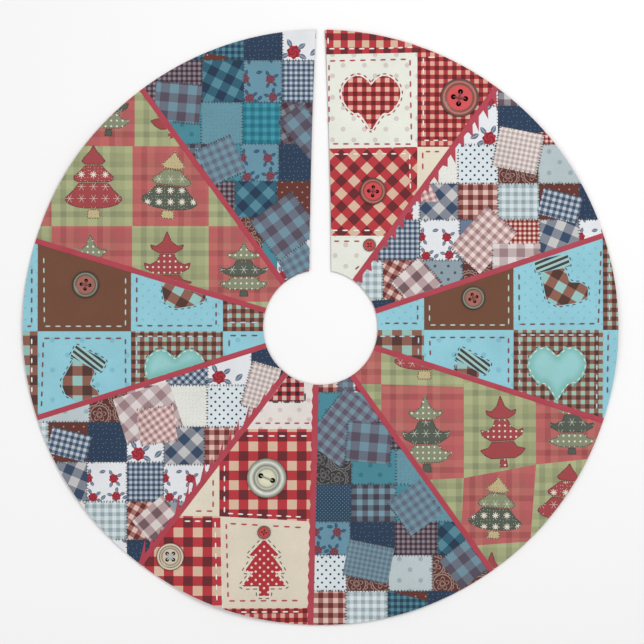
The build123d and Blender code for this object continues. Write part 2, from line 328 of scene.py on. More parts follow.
def closed_mesh(name, plan, faces, owner, cloths, level, thickness, puff, depth, edge_drop, edge_width):
    """Gives a flat triangulation its height, underside, rim, print coordinates and fabrics."""
    sides = {}
    for f, face in enumerate(faces):
        for a, b in zip(face, face[1:] + face[:1]):
            sides.setdefault((min(a, b), max(a, b)), []).append((f, a, b))
    rim = [found[0] for found in sides.values() if len(found) == 1]
    seam = set()
    for found in sides.values():
        if len(found) == 2 and owner[found[0][0]] != owner[found[1][0]]:
            seam.update(found[0][1:])
    border = {i for _, a, b in rim for i in (a, b)}
    height = level + puff_up(plan, seam, puff, depth) + drape(plan)
    fullness = np.ones(len(plan))
    if edge_drop:
        fullness = smooth(gap_to(plan, border) / edge_width)
        height -= edge_drop * (1 - fullness)
    count = len(plan)
    under = level - thickness + drape(plan)
    top = [(x, y, z) for (x, y), z in zip(plan, height)]
    bottom = [(x, y, z) for (x, y), z in zip(plan, under)]
    polygons = list(faces)
    polygons += [tuple(i + count for i in face[::-1]) for face in faces]
    polygons += [(b, a, a + count, b + count) for _, a, b in rim]
    owners = list(owner) + list(owner) + [owner[f] for f, _, _ in rim]
    fabrics = list(dict.fromkeys(cloth.fabric for cloth in cloths))
    slots = [fabrics.index(cloth.fabric) for cloth in cloths]
    materials = [fabric(wanted) for wanted in fabrics]
    made = add_mesh(name, top + bottom, polygons, materials, [slots[o] for o in owners], smooth=True)
    mesh = made.data
    full = mesh.attributes.new("fullness", "FLOAT", "POINT")
    full.data.foreach_set("value", np.tile(fullness, 2))
    print_layer = mesh.uv_layers.new(name="print")
    uv = np.zeros((len(mesh.loops), 2))
    corner = np.zeros(len(mesh.loops), int)
    mesh.loops.foreach_get("vertex_index", corner)
    flat = plan[corner % count]
    begin = np.array([p.loop_start for p in mesh.polygons])
    total = np.array([p.loop_total for p in mesh.polygons])
    face_of_loop = np.repeat(np.arange(len(begin)), total)
    loop_owner = np.array(owners)[face_of_loop]
    for number, cloth in enumerate(cloths):
        mine = loop_owner == number
        c, s = math.cos(math.radians(cloth.turn)), math.sin(math.radians(cloth.turn))
        x, y = flat[mine, 0] - cloth.start.x, flat[mine, 1] - cloth.start.y
        uv[mine, 0] = x * c + y * s
        uv[mine, 1] = -x * s + y * c
    print_layer.data.foreach_set("uv", uv.ravel())
    mesh.set_sharp_from_angle(angle=math.radians(SHARP_ANGLE))
    return made


def add_mesh(name, points, faces, materials, slots=None, smooth=False):
    """A new object in the scene, made of points and faces."""
    mesh = bpy.data.meshes.new(name)
    mesh.from_pydata(points, [], faces)
    for material in materials:
        mesh.materials.append(material)
    if slots is not None:
        mesh.polygons.foreach_set("material_index", slots)
    if smooth:
        mesh.polygons.foreach_set("use_smooth", [True] * len(faces))
    made = bpy.data.objects.new(name, mesh)
    bpy.context.scene.collection.objects.link(made)
    return made


def stand_for(piece, node):
    """Shows a piece in place of a CAD node, on the body that the node rides on."""
    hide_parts(node)
    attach(piece, BODY_OF[node])


def gap_to(plan, chosen):
    """How far each point is from the nearest of some chosen ones."""
    tree = kdtree.KDTree(len(chosen))
    for i in chosen:
        tree.insert((plan[i][0], plan[i][1], 0), i)
    tree.balance()
    return np.array([tree.find((x, y, 0))[2] for x, y in plan])


def puff_up(plan, seam, puff, depth):
    """The height of the cloth over its own level: sunk at the seams and full away from them."""
    if not seam:
        return np.full(len(plan), puff)
    return puff - depth * (1 - smooth(gap_to(plan, seam) / PUFF_REACH)) ** 2


def joined(name, parts):
    """Several meshes as one object."""
    bpy.ops.object.select_all(action="DESELECT")
    for part in parts:
        part.select_set(True)
    bpy.context.view_layer.objects.active = parts[0]
    if len(parts) > 1:
        bpy.ops.object.join()
    parts[0].name = name
    parts[0].data.name = name
    return parts[0]


# ---------------------------------------------------------------- shader building


def srgb(red, green, blue):
    """A linear colour from 0 to 255 screen values."""
    channels = [c / 255 for c in (red, green, blue)]
    linear = [c / 12.92 if c <= 0.04045 else ((c + 0.055) / 1.055) ** 2.4 for c in channels]
    return (*linear, 1.0)


WEAVE_PITCH = 0.9 * MM
COTTON_ROUGHNESS = 0.87
COTTON_SHEEN = 0.25
COTTON_RELIEF = 0.48
CLOTH_GLOSS = 0.25


class Shader:
    """Builds one material's node tree, a call for each node."""

    def __init__(self, name):
        self.material = bpy.data.materials.new(name)
        self.material.use_nodes = True
        self.tree = self.material.node_tree
        self.surface = self.tree.nodes["Principled BSDF"]

    def put(self, kind, *values, out=0, **settings):
        """A node with its inputs set or linked in order, None leaving one alone. Returns one output."""
        node = self.tree.nodes.new(kind)
        for key, value in settings.items():
            setattr(node, key, value)
        for socket, value in zip(node.inputs, values):
            self.feed(socket, value)
        return node.outputs[out]

    def feed(self, socket, value):
        if value is None:
            return
        if isinstance(value, bpy.types.NodeSocket):
            self.tree.links.new(value, socket)
        else:
            socket.default_value = value

    def math(self, operation, *values):
        return self.put("ShaderNodeMath", *values, operation=operation)

    def mix(self, share, first, second, blend="MIX"):
        node = self.tree.nodes.new("ShaderNodeMix")
        node.data_type = "RGBA"
        node.blend_type = blend
        self.feed(node.inputs["Factor"], share)
        self.feed(node.inputs["A"], first)
        self.feed(node.inputs["B"], second)
        return node.outputs["Result"]

    def ramp(self, value, stops, stepped=False):
        """A colour ramp with (position, colour) stops."""
        node = self.tree.nodes.new("ShaderNodeValToRGB")
        node.color_ramp.interpolation = "CONSTANT" if stepped else "LINEAR"
        elements = node.color_ramp.elements
        elements[0].position, elements[0].color = stops[0]
        elements[1].position, elements[1].color = stops[-1]
        for position, colour in stops[1:-1]:
            elements.new(position).color = colour
        self.feed(node.inputs[0], value)
        return node.outputs[0]

    def set(self, name, value):
        """Sets or links one input of the surface."""
        self.feed(self.surface.inputs[name], value)

    def tint(self, colour, shade):
        """Gives the surface a colour, darkened by a shade."""
        tone = self.put("ShaderNodeCombineColor", shade, shade, shade)
        self.set("Base Color", self.mix(1.0, colour, tone, "MULTIPLY"))

    def bump(self, height, strength):
        """Gives the surface fine relief from a height in metres."""
        node = self.tree.nodes.new("ShaderNodeBump")
        node.inputs["Strength"].default_value = strength
        node.inputs["Distance"].default_value = 1.0
        self.feed(node.inputs["Height"], height)
        self.set("Normal", node.outputs[0])

    def split(self, vector):
        """The first two parts of a vector."""
        node = self.tree.nodes.new("ShaderNodeSeparateXYZ")
        self.feed(node.inputs[0], vector)
        return node.outputs[0], node.outputs[1]

    def print_axes(self):
        """The two coordinates of the print, in metres."""
        return self.split(self.put("ShaderNodeUVMap", uv_map="print"))

    def repeat(self, coordinate, period):
        """A coordinate's share of the way through each period."""
        return self.math("FRACT", self.math("DIVIDE", coordinate, period))

    def polar(self, x, y):
        """Length and angle of a local vector."""
        squares = self.math("ADD", self.math("MULTIPLY", x, x), self.math("MULTIPLY", y, y))
        return self.math("SQRT", squares), self.math("ARCTAN2", y, x)

    def below(self, value, limit):
        return self.math("LESS_THAN", value, limit)

    def cell(self, x, y, period_x, period_y):
        """Local coordinates round the middle of each cell of a grid, in metres."""
        u = self.math("MULTIPLY", self.math("SUBTRACT", self.repeat(x, period_x), 0.5), period_x)
        v = self.math("MULTIPLY", self.math("SUBTRACT", self.repeat(y, period_y), 0.5), period_y)
        return u, v

    def scattered(self, x, y, period, looseness, seed):
        """Local coordinates round loosely scattered spots, in metres, and a random value for each spot."""
        shifted = self.put("ShaderNodeCombineXYZ", self.math("ADD", x, seed), self.math("ADD", y, seed * 1.7))
        node = self.tree.nodes.new("ShaderNodeTexVoronoi")
        node.voronoi_dimensions = "2D"
        self.feed(node.inputs["Vector"], shifted)
        self.feed(node.inputs["Scale"], 1.0 / period)
        self.feed(node.inputs["Randomness"], looseness)
        local = self.put("ShaderNodeVectorMath", shifted, node.outputs["Position"], operation="SUBTRACT")
        chance = self.put("ShaderNodeSeparateColor", node.outputs["Color"])
        return *self.split(local), chance

    def noise(self, size, detail=2.0):
        """Noise whose features are about this size in metres, fixed to the piece."""
        where = self.put("ShaderNodeTexCoord", out=3)
        node = self.tree.nodes.new("ShaderNodeTexNoise")
        self.feed(node.inputs["Vector"], where)
        self.feed(node.inputs["Scale"], 1.0 / size)
        self.feed(node.inputs["Detail"], detail)
        return node.outputs[0]

    def finish_cloth(self, colour):
        """Woven cotton: threads both ways with painted shade between their crossings, uneven dye, soft sheen
        and small creases.
        """
        x, y = self.print_axes()
        warp = self.math("SINE", self.math("MULTIPLY", x, math.tau / WEAVE_PITCH))
        weft = self.math("SINE", self.math("MULTIPLY", y, math.tau / WEAVE_PITCH))
        weave = self.math("MULTIPLY", warp, weft)
        slub = self.noise(2.2 * MM, 3.0)
        fade = self.noise(70 * MM, 3.0)
        # The weave term is painted shade: lighter on the thread crowns, darker between them.
        shade = self.math("MULTIPLY_ADD", weave, 0.035, 1.0)
        shade = self.math("MULTIPLY", shade, self.math("MULTIPLY_ADD", slub, 0.22, 0.89))
        shade = self.math("MULTIPLY", shade, self.math("MULTIPLY_ADD", fade, 0.24, 0.88))
        self.tint(colour, shade)
        self.set("Roughness", self.math("MULTIPLY_ADD", slub, 0.1, COTTON_ROUGHNESS))
        self.set("Sheen Weight", COTTON_SHEEN)
        self.set("Sheen Roughness", 0.5)
        self.set("Specular IOR Level", CLOTH_GLOSS)
        crease = self.noise(26 * MM, 3.0)
        height = self.math("ADD", self.math("MULTIPLY", weave, 0.00012), self.math("MULTIPLY", slub, 0.0004))
        height = self.math("MULTIPLY_ADD", crease, 0.0016, height)
        self.bump(height, COTTON_RELIEF)
        return self.material


# ---------------------------------------------------------------- prints


def gingham(shader, light, half, dark, check):
    """Squares of three tones, each a check wide."""
    x, y = shader.print_axes()
    across = shader.below(shader.repeat(x, 2 * check), 0.5)
    down = shader.below(shader.repeat(y, 2 * check), 0.5)
    either = shader.math("MAXIMUM", across, down)
    both = shader.math("MULTIPLY", across, down)
    return shader.mix(both, shader.mix(either, light, half), dark)


def plaid(shader, stops, period):
    """Stripes of several colours crossing, each thread lending half the colour."""
    x, y = shader.print_axes()
    across = shader.ramp(shader.repeat(x, period), stops, stepped=True)
    down = shader.ramp(shader.repeat(y, period), stops, stepped=True)
    return shader.mix(0.5, across, down)


def stripes(shader, first, second, period, share):
    """Stripes of two colours, the first taking this share of the width."""
    x, _ = shader.print_axes()
    return shader.mix(shader.below(shader.repeat(x, period), share), first, second)


def spots(shader, ground, spot, period, radius):
    """Staggered round spots."""
    x, y = shader.print_axes()
    colour = ground
    for shift in (0.0, period / 2):
        u, v = shader.cell(shader.math("ADD", x, shift), shader.math("ADD", y, shift), period, period)
        length, _ = shader.polar(u, v)
        colour = shader.mix(shader.below(length, radius), colour, spot)
    return colour


def grid_dots(shader, ground, spot, period, radius):
    """Round spots in straight rows."""
    x, y = shader.print_axes()
    u, v = shader.cell(x, y, period, period)
    length, _ = shader.polar(u, v)
    return shader.mix(shader.below(length, radius), ground, spot)


def specks(shader, ground, spot, period, radius):
    """Loosely scattered tiny dots."""
    x, y = shader.print_axes()
    u, v, _ = shader.scattered(x, y, period, 0.55, 0.0)
    length, _ = shader.polar(u, v)
    return shader.mix(shader.below(length, radius), ground, spot)


def flakes(shader, ground, ink, period, radius):
    """Rows of six-armed snow stars."""
    x, y = shader.print_axes()
    u, v = shader.cell(shader.math("ADD", x, period / 2), y, period, period)
    length, angle = shader.polar(u, v)
    wave = shader.math("ABSOLUTE", shader.math("SINE", shader.math("MULTIPLY", angle, 3.0)))
    arm = shader.below(shader.math("MULTIPLY", wave, length), radius * 0.15)
    return shader.mix(shader.math("MULTIPLY", arm, shader.below(length, radius)), ground, ink)


def stars(shader, ground, ink, period, radius):
    """Rows of eight-pointed stars with fine specks between them."""
    x, y = shader.print_axes()
    colour = specks(shader, ground, ink, period / 3.5, 0.6 * MM)
    u, v = shader.cell(shader.math("ADD", x, period / 2), y, period, period)
    length, angle = shader.polar(u, v)
    wave = shader.math("ABSOLUTE", shader.math("COSINE", shader.math("MULTIPLY", angle, 4.0)))
    reach = shader.math("MULTIPLY_ADD", shader.math("POWER", wave, 2.0), radius * 0.6, radius * 0.4)
    return shader.mix(shader.math("LESS_THAN", length, reach), colour, ink)


def leaf(shader, colour, spot, turn, reach, size, ink, vein_ink):
    """A pointed leaf this far out from a spot's middle, on the side that turn points to."""
    u, v, facing = spot
    length, angle = shader.polar(u, v)
    angle = shader.math("SUBTRACT", shader.math("SUBTRACT", angle, facing), turn)
    along = shader.math("SUBTRACT", shader.math("MULTIPLY", length, shader.math("COSINE", angle)), reach)
    across = shader.math("ABSOLUTE", shader.math("MULTIPLY", length, shader.math("SINE", angle)))
    share = shader.math("DIVIDE", along, size)
    swell = shader.math("SUBTRACT", 1.0, shader.math("MULTIPLY", share, share))
    blade = shader.below(across, shader.math("MULTIPLY", swell, size * 0.5))
    colour = shader.mix(blade, colour, ink)
    vein = shader.math("MULTIPLY", shader.below(across, size * 0.06), blade)
    return shader.mix(shader.math("MULTIPLY", vein, 0.5), colour, vein_ink)


def roses(shader, ground, petal, shadow, leaf_ink, period, radius):
    """Scattered roses with leaves round them and single leaves between them."""
    x, y = shader.print_axes()
    colour = ground
    u, v, chance = shader.scattered(x, y, period, 0.35, period / 2)
    lone = (u, v, shader.math("MULTIPLY", chance, math.tau))
    colour = leaf(shader, colour, lone, 0.0, 0.0, radius * 0.7, leaf_ink, ground)
    u, v, chance = shader.scattered(x, y, period, 0.3, 0.0)
    facing = shader.math("MULTIPLY", chance, math.tau)
    for turn in (0.4, 1.5, 2.9, 4.4):
        colour = leaf(shader, colour, (u, v, facing), turn, radius * 1.3, radius * 0.65, leaf_ink, ground)
    length, angle = shader.polar(u, v)
    angle = shader.math("ADD", facing, angle)
    lobes = shader.math("SINE", shader.math("MULTIPLY", angle, 7.0))
    reach = shader.math("MULTIPLY_ADD", lobes, radius * 0.08, radius * 0.88)
    share = shader.math("DIVIDE", length, radius)
    swirl = shader.math("MULTIPLY_ADD", share, 11.0, shader.math("MULTIPLY", angle, 3.0))
    folds = shader.math("MULTIPLY_ADD", shader.math("SINE", swirl), 0.5, 0.5)
    bloom = shader.mix(folds, petal, shadow)
    return shader.mix(shader.math("LESS_THAN", length, reach), colour, bloom)


# The lines of a medallion: reach, waviness and half the number of petals.
MEDALLION = ((0.5, 0.12, 9.0), (0.39, 0.0, 1.0), (0.28, 0.6, 2.5), (0.12, 0.5, 2.5))
MEDALLION_LINE = 0.022


def paisley(shader, ground, ink, period):
    """Scattered medallions: two fine rings round an open flower."""
    x, y = shader.print_axes()
    u, v, chance = shader.scattered(x, y, period, 0.5, 0.0)
    length, angle = shader.polar(u, v)
    angle = shader.math("MULTIPLY_ADD", chance, math.tau, angle)
    share = shader.math("DIVIDE", length, period)
    drawn = 0.0
    for reach, depth, petals in MEDALLION:
        wave = shader.math("ABSOLUTE", shader.math("SINE", shader.math("MULTIPLY", angle, petals)))
        edge = shader.math("MULTIPLY_ADD", wave, reach * depth, reach * (1 - depth))
        line = shader.below(shader.math("ABSOLUTE", shader.math("SUBTRACT", share, edge)), MEDALLION_LINE)
        drawn = shader.math("MAXIMUM", drawn, line)
    return shader.mix(drawn, ground, ink)


def plain(_, colour):
    """No print, only the dyed cloth."""
    return colour


def painted_edge_shade(shader, edge, centre):
    """One colour darkened by painted shade towards the sewn edge, where a padded shape curves down."""
    full = shader.tree.nodes.new("ShaderNodeAttribute")
    full.attribute_name = "fullness"
    return shader.mix(full.outputs["Fac"], edge, centre)


WHITE = srgb(228, 230, 233)
TAN = srgb(216, 184, 160)
RED = srgb(183, 56, 63)
DARK_RED = srgb(106, 42, 46)
SKY = srgb(146, 203, 216)
BROWN = srgb(114, 75, 57)
NAVY = srgb(42, 61, 85)
TREE_RED = srgb(163, 72, 75)
PINE = srgb(86, 93, 82)
BISCUIT = srgb(196, 179, 136)
IVORY = srgb(226, 220, 202)
ROSE = srgb(180, 54, 64)
ROSE_FOLD = srgb(132, 34, 50)

RED_PLAID = (
    (0.0, srgb(192, 103, 101)),
    (0.24, srgb(156, 80, 80)),
    (0.4, srgb(188, 113, 105)),
    (0.6, srgb(167, 96, 90)),
    (0.76, srgb(180, 92, 95)),
    (1.0, srgb(180, 92, 95)),
)
GREEN_PLAID = (
    (0.0, srgb(174, 179, 134)),
    (0.24, srgb(136, 142, 109)),
    (0.4, srgb(172, 177, 134)),
    (0.6, srgb(144, 148, 112)),
    (0.76, srgb(157, 162, 121)),
    (1.0, srgb(157, 162, 121)),
)

# Each fabric: the print, and what it is made with.
FABRICS = {
    "red_check": (gingham, (TAN, RED, DARK_RED, 18.2 * MM)),
    "red_band_check": (gingham, (TAN, RED, DARK_RED, 13.4 * MM)),
    "red_bias_check": (gingham, (TAN, RED, DARK_RED, 17 * MM)),
    "red_small_check": (gingham, (srgb(222, 172, 152), srgb(172, 58, 62), srgb(108, 34, 38), 8.3 * MM)),
    "red_heart_check": (gingham, (srgb(226, 182, 164), srgb(172, 58, 62), srgb(104, 34, 34), 8.6 * MM)),
    "red_tiny_check": (gingham, (srgb(230, 208, 192), srgb(176, 94, 90), srgb(114, 40, 38), 4.4 * MM)),
    "black_red_check": (gingham, (srgb(208, 186, 176), srgb(164, 52, 60), srgb(56, 32, 38), 8.2 * MM)),
    "cream_spots": (spots, (srgb(231, 233, 222), srgb(212, 202, 197), 40 * MM, 4.6 * MM)),
    "pink_spots": (spots, (srgb(230, 222, 216), srgb(210, 195, 194), 36 * MM, 4.4 * MM)),
    "beige": (plain, (srgb(227, 218, 197),)),
    "cream_plain": (plain, (srgb(222, 211, 192),)),
    "sky_spots": (spots, (SKY, srgb(132, 188, 204), 22 * MM, 2.2 * MM)),
    "sky_large_spots": (spots, (SKY, srgb(130, 187, 203), 56 * MM, 4.8 * MM)),
    "brown_plain": (plain, (BROWN,)),
    "brown_mint_check": (gingham, (srgb(152, 192, 177), srgb(140, 94, 80), srgb(84, 54, 49), 8.4 * MM)),
    "brown_mint_large": (gingham, (srgb(152, 190, 180), srgb(142, 96, 82), srgb(84, 56, 50), 18.6 * MM)),
    "boot_check": (gingham, (srgb(150, 194, 190), srgb(142, 96, 82), srgb(84, 56, 50), 18.4 * MM)),
    "red_plaid": (plaid, (RED_PLAID, 68.8 * MM)),
    "green_plaid": (plaid, (GREEN_PLAID, 68.8 * MM)),
    "navy_specks": (specks, (NAVY, srgb(116, 134, 154), 8.4 * MM, 0.75 * MM)),
    "navy_dots": (spots, (srgb(46, 71, 94), srgb(124, 150, 168), 7 * MM, 0.75 * MM)),
    "rose_print": (roses, (WHITE, ROSE, ROSE_FOLD, srgb(98, 112, 134), 42 * MM, 9.5 * MM)),
    "rose_large": (roses, (WHITE, ROSE, ROSE_FOLD, srgb(104, 118, 140), 82 * MM, 14 * MM)),
    "rose_teal": (
        roses,
        (srgb(104, 147, 165), srgb(138, 74, 86), srgb(100, 56, 72), srgb(52, 84, 112), 42 * MM, 9.5 * MM),
    ),
    "polka_white": (spots, (srgb(217, 226, 230), srgb(48, 54, 68), 15.7 * MM, 2.1 * MM)),
    "polka_grey": (spots, (srgb(142, 158, 166), srgb(78, 90, 102), 25 * MM, 2.8 * MM)),
    "big_grey_spots": (spots, (srgb(181, 194, 197), srgb(152, 170, 177), 40 * MM, 4.4 * MM)),
    "pale_spots": (spots, (srgb(188, 200, 203), srgb(156, 173, 180), 40 * MM, 4.4 * MM)),
    "cream_specks": (specks, (srgb(226, 227, 220), srgb(172, 162, 150), 7 * MM, 0.6 * MM)),
    "maroon_paisley": (paisley, (srgb(96, 50, 48), srgb(158, 134, 122), 44 * MM)),
    "dark_paisley": (paisley, (srgb(60, 56, 57), srgb(114, 114, 115), 44 * MM)),
    "maroon_dots": (spots, (srgb(102, 54, 48), srgb(182, 150, 128), 19 * MM, 1.5 * MM)),
    "blue_check": (gingham, (srgb(198, 197, 196), srgb(130, 134, 146), srgb(54, 74, 100), 17.4 * MM)),
    "navy_check": (gingham, (srgb(184, 196, 204), srgb(112, 126, 144), srgb(56, 70, 96), 4.8 * MM)),
    "navy_small_check": (gingham, (srgb(184, 196, 204), srgb(112, 126, 144), srgb(56, 70, 96), 5.2 * MM)),
    "navy_tilt_check": (gingham, (srgb(190, 200, 208), srgb(116, 130, 148), srgb(58, 74, 98), 5.7 * MM)),
    "wine_check": (gingham, (srgb(222, 194, 182), srgb(166, 110, 104), srgb(104, 48, 46), 9.3 * MM)),
    "ice_check": (gingham, (srgb(213, 225, 228), srgb(186, 200, 203), srgb(150, 165, 170), 7.4 * MM)),
    "grey_plaid": (gingham, (srgb(192, 192, 194), srgb(142, 134, 140), srgb(100, 82, 92), 12 * MM)),
    "blush_check": (gingham, (srgb(232, 220, 215), srgb(206, 192, 188), srgb(174, 161, 158), 4.6 * MM)),
    "rose_check": (gingham, (srgb(231, 215, 209), srgb(200, 170, 168), srgb(160, 126, 126), 7.6 * MM)),
    "pink_check": (gingham, (srgb(231, 208, 204), srgb(202, 168, 166), srgb(158, 124, 123), 5.8 * MM)),
    "mauve_check": (gingham, (srgb(221, 212, 209), srgb(182, 158, 158), srgb(116, 92, 97), 16 * MM)),
    "pale_mauve_check": (gingham, (srgb(222, 214, 212), srgb(192, 173, 173), srgb(156, 128, 131), 16 * MM)),
    "teal_spots": (spots, (srgb(74, 136, 151), srgb(55, 117, 133), 36 * MM, 4.4 * MM)),
    "teal_specks": (specks, (srgb(102, 147, 161), srgb(80, 118, 138), 7 * MM, 0.8 * MM)),
    "teal_wine_check": (gingham, (srgb(118, 154, 168), srgb(95, 108, 120), srgb(66, 62, 76), 10.4 * MM)),
    "teal_navy_check": (gingham, (srgb(88, 134, 150), srgb(54, 98, 116), srgb(40, 60, 82), 5.8 * MM)),
    "teal_check": (gingham, (srgb(86, 134, 150), srgb(50, 94, 113), srgb(38, 56, 80), 17 * MM)),
    "bright_teal_check": (gingham, (srgb(68, 149, 168), srgb(47, 128, 145), srgb(33, 108, 126), 7.6 * MM)),
    "wine_teal_check": (gingham, (srgb(140, 134, 142), srgb(98, 80, 90), srgb(60, 44, 54), 4.7 * MM)),
    "wine_teal_large": (gingham, (srgb(122, 134, 144), srgb(100, 86, 96), srgb(72, 48, 57), 10 * MM)),
    "lilac_large_check": (gingham, (srgb(112, 144, 158), srgb(104, 112, 127), srgb(87, 78, 92), 17 * MM)),
    "lilac_check": (gingham, (srgb(118, 145, 158), srgb(110, 116, 131), srgb(96, 86, 104), 9.5 * MM)),
    "lilac_small_check": (gingham, (srgb(114, 149, 163), srgb(108, 130, 146), srgb(98, 108, 126), 7.8 * MM)),
    "slate_check": (gingham, (srgb(124, 150, 163), srgb(110, 134, 148), srgb(94, 116, 131), 4.5 * MM)),
    "slate": (plain, (srgb(108, 122, 146),)),
    "white_grey_check": (gingham, (srgb(215, 227, 230), srgb(188, 200, 204), srgb(152, 167, 172), 7.2 * MM)),
    # The teal heart: its colour darkens towards its padded edge as painted shade.
    "heart_teal": (painted_edge_shade, (srgb(124, 184, 176), srgb(151, 204, 204))),
    "cuff_stripes": (stripes, (srgb(64, 66, 65), srgb(164, 200, 196), 9.5 * MM, 0.48)),
    "tree_red": (plain, (TREE_RED,)),
    "red_dots": (grid_dots, (TREE_RED, IVORY, 10.6 * MM, 1.9 * MM)),
    "red_stars": (stars, (TREE_RED, IVORY, 22.5 * MM, 6.4 * MM)),
    "red_flakes": (flakes, (TREE_RED, srgb(214, 186, 178), 22.5 * MM, 8.0 * MM)),
    "green_dots": (grid_dots, (srgb(136, 142, 116), IVORY, 10.6 * MM, 1.9 * MM)),
    "green_flakes": (flakes, (srgb(138, 144, 114), srgb(206, 210, 188), 21.5 * MM, 8.0 * MM)),
    "pine_flakes": (flakes, (PINE, srgb(190, 196, 184), 21.5 * MM, 8.0 * MM)),
    "pine_stars": (stars, (PINE, IVORY, 21.5 * MM, 6.4 * MM)),
    "pine_plain": (plain, (PINE,)),
    "tree_tan": (specks, (BISCUIT, srgb(156, 146, 112), 6 * MM, 0.9 * MM)),
    "polka_red": (spots, (srgb(177, 48, 57), srgb(230, 212, 200), 15.5 * MM, 2.2 * MM)),
    "lining": (plain, (srgb(132, 40, 50),)),
    "tape": (plain, (srgb(118, 34, 44),)),
    "hook_tape": (plain, (srgb(122, 44, 54),)),
    "loop_tape": (plain, (srgb(132, 48, 58),)),
}
made_fabrics = {}


def fabric(name):
    """The material of a fabric, made the first time it is asked for."""
    if name not in made_fabrics:
        made_fabrics[name] = ribbon_material() if name == "ribbon" else cotton_material(name)
    return made_fabrics[name]


def cotton_material(name):
    """Woven cotton with one of the prints."""
    shader = Shader(name)
    printer, values = FABRICS[name]
    return shader.finish_cloth(printer(shader, *values))


RIB_PITCH = 1.6 * MM


def ribbon_material():
    """Grosgrain: fine ribs across a satin ribbon, with painted shade between the ribs."""
    shader = Shader("grosgrain")
    _, y = shader.print_axes()
    rib = shader.math("SINE", shader.math("MULTIPLY", y, math.tau / RIB_PITCH))
    fade = shader.noise(40 * MM)
    colour = shader.mix(fade, srgb(172, 58, 74), srgb(188, 76, 90))
    # The rib term is painted shade: lighter on each rib, darker between them.
    shade = shader.math("MULTIPLY_ADD", rib, 0.04, 0.96)
    shader.tint(colour, shade)
    shader.set("Roughness", 0.6)
    shader.set("Specular IOR Level", CLOTH_GLOSS)
    shader.bump(shader.math("MULTIPLY", rib, 0.00015), 0.5)
    return shader.material


# ---------------------------------------------------------------- the ten gores

FAR = 620.0  # millimetres, past the rim


def row(top, bottom, left, *cells):
    """A row of patches from left to right. Each cell is its right edge, its fabric and perhaps its turn."""
    made = []
    for right, name, *turn in cells:
        area = [place(left, bottom), place(right, bottom), place(right, top), place(left, top)]
        made.append(Cloth(name, area, *turn, start=area[0] if not turn else None))
        left = right
    return made


def patch(name, *corners, turn=0.0, start=None):
    """One patch of any outline, in millimetres. Its print starts at its first corner, or at a given point."""
    area = [place(*corner) for corner in corners]
    return Cloth(name, area, turn, place(*start) if start else area[0])


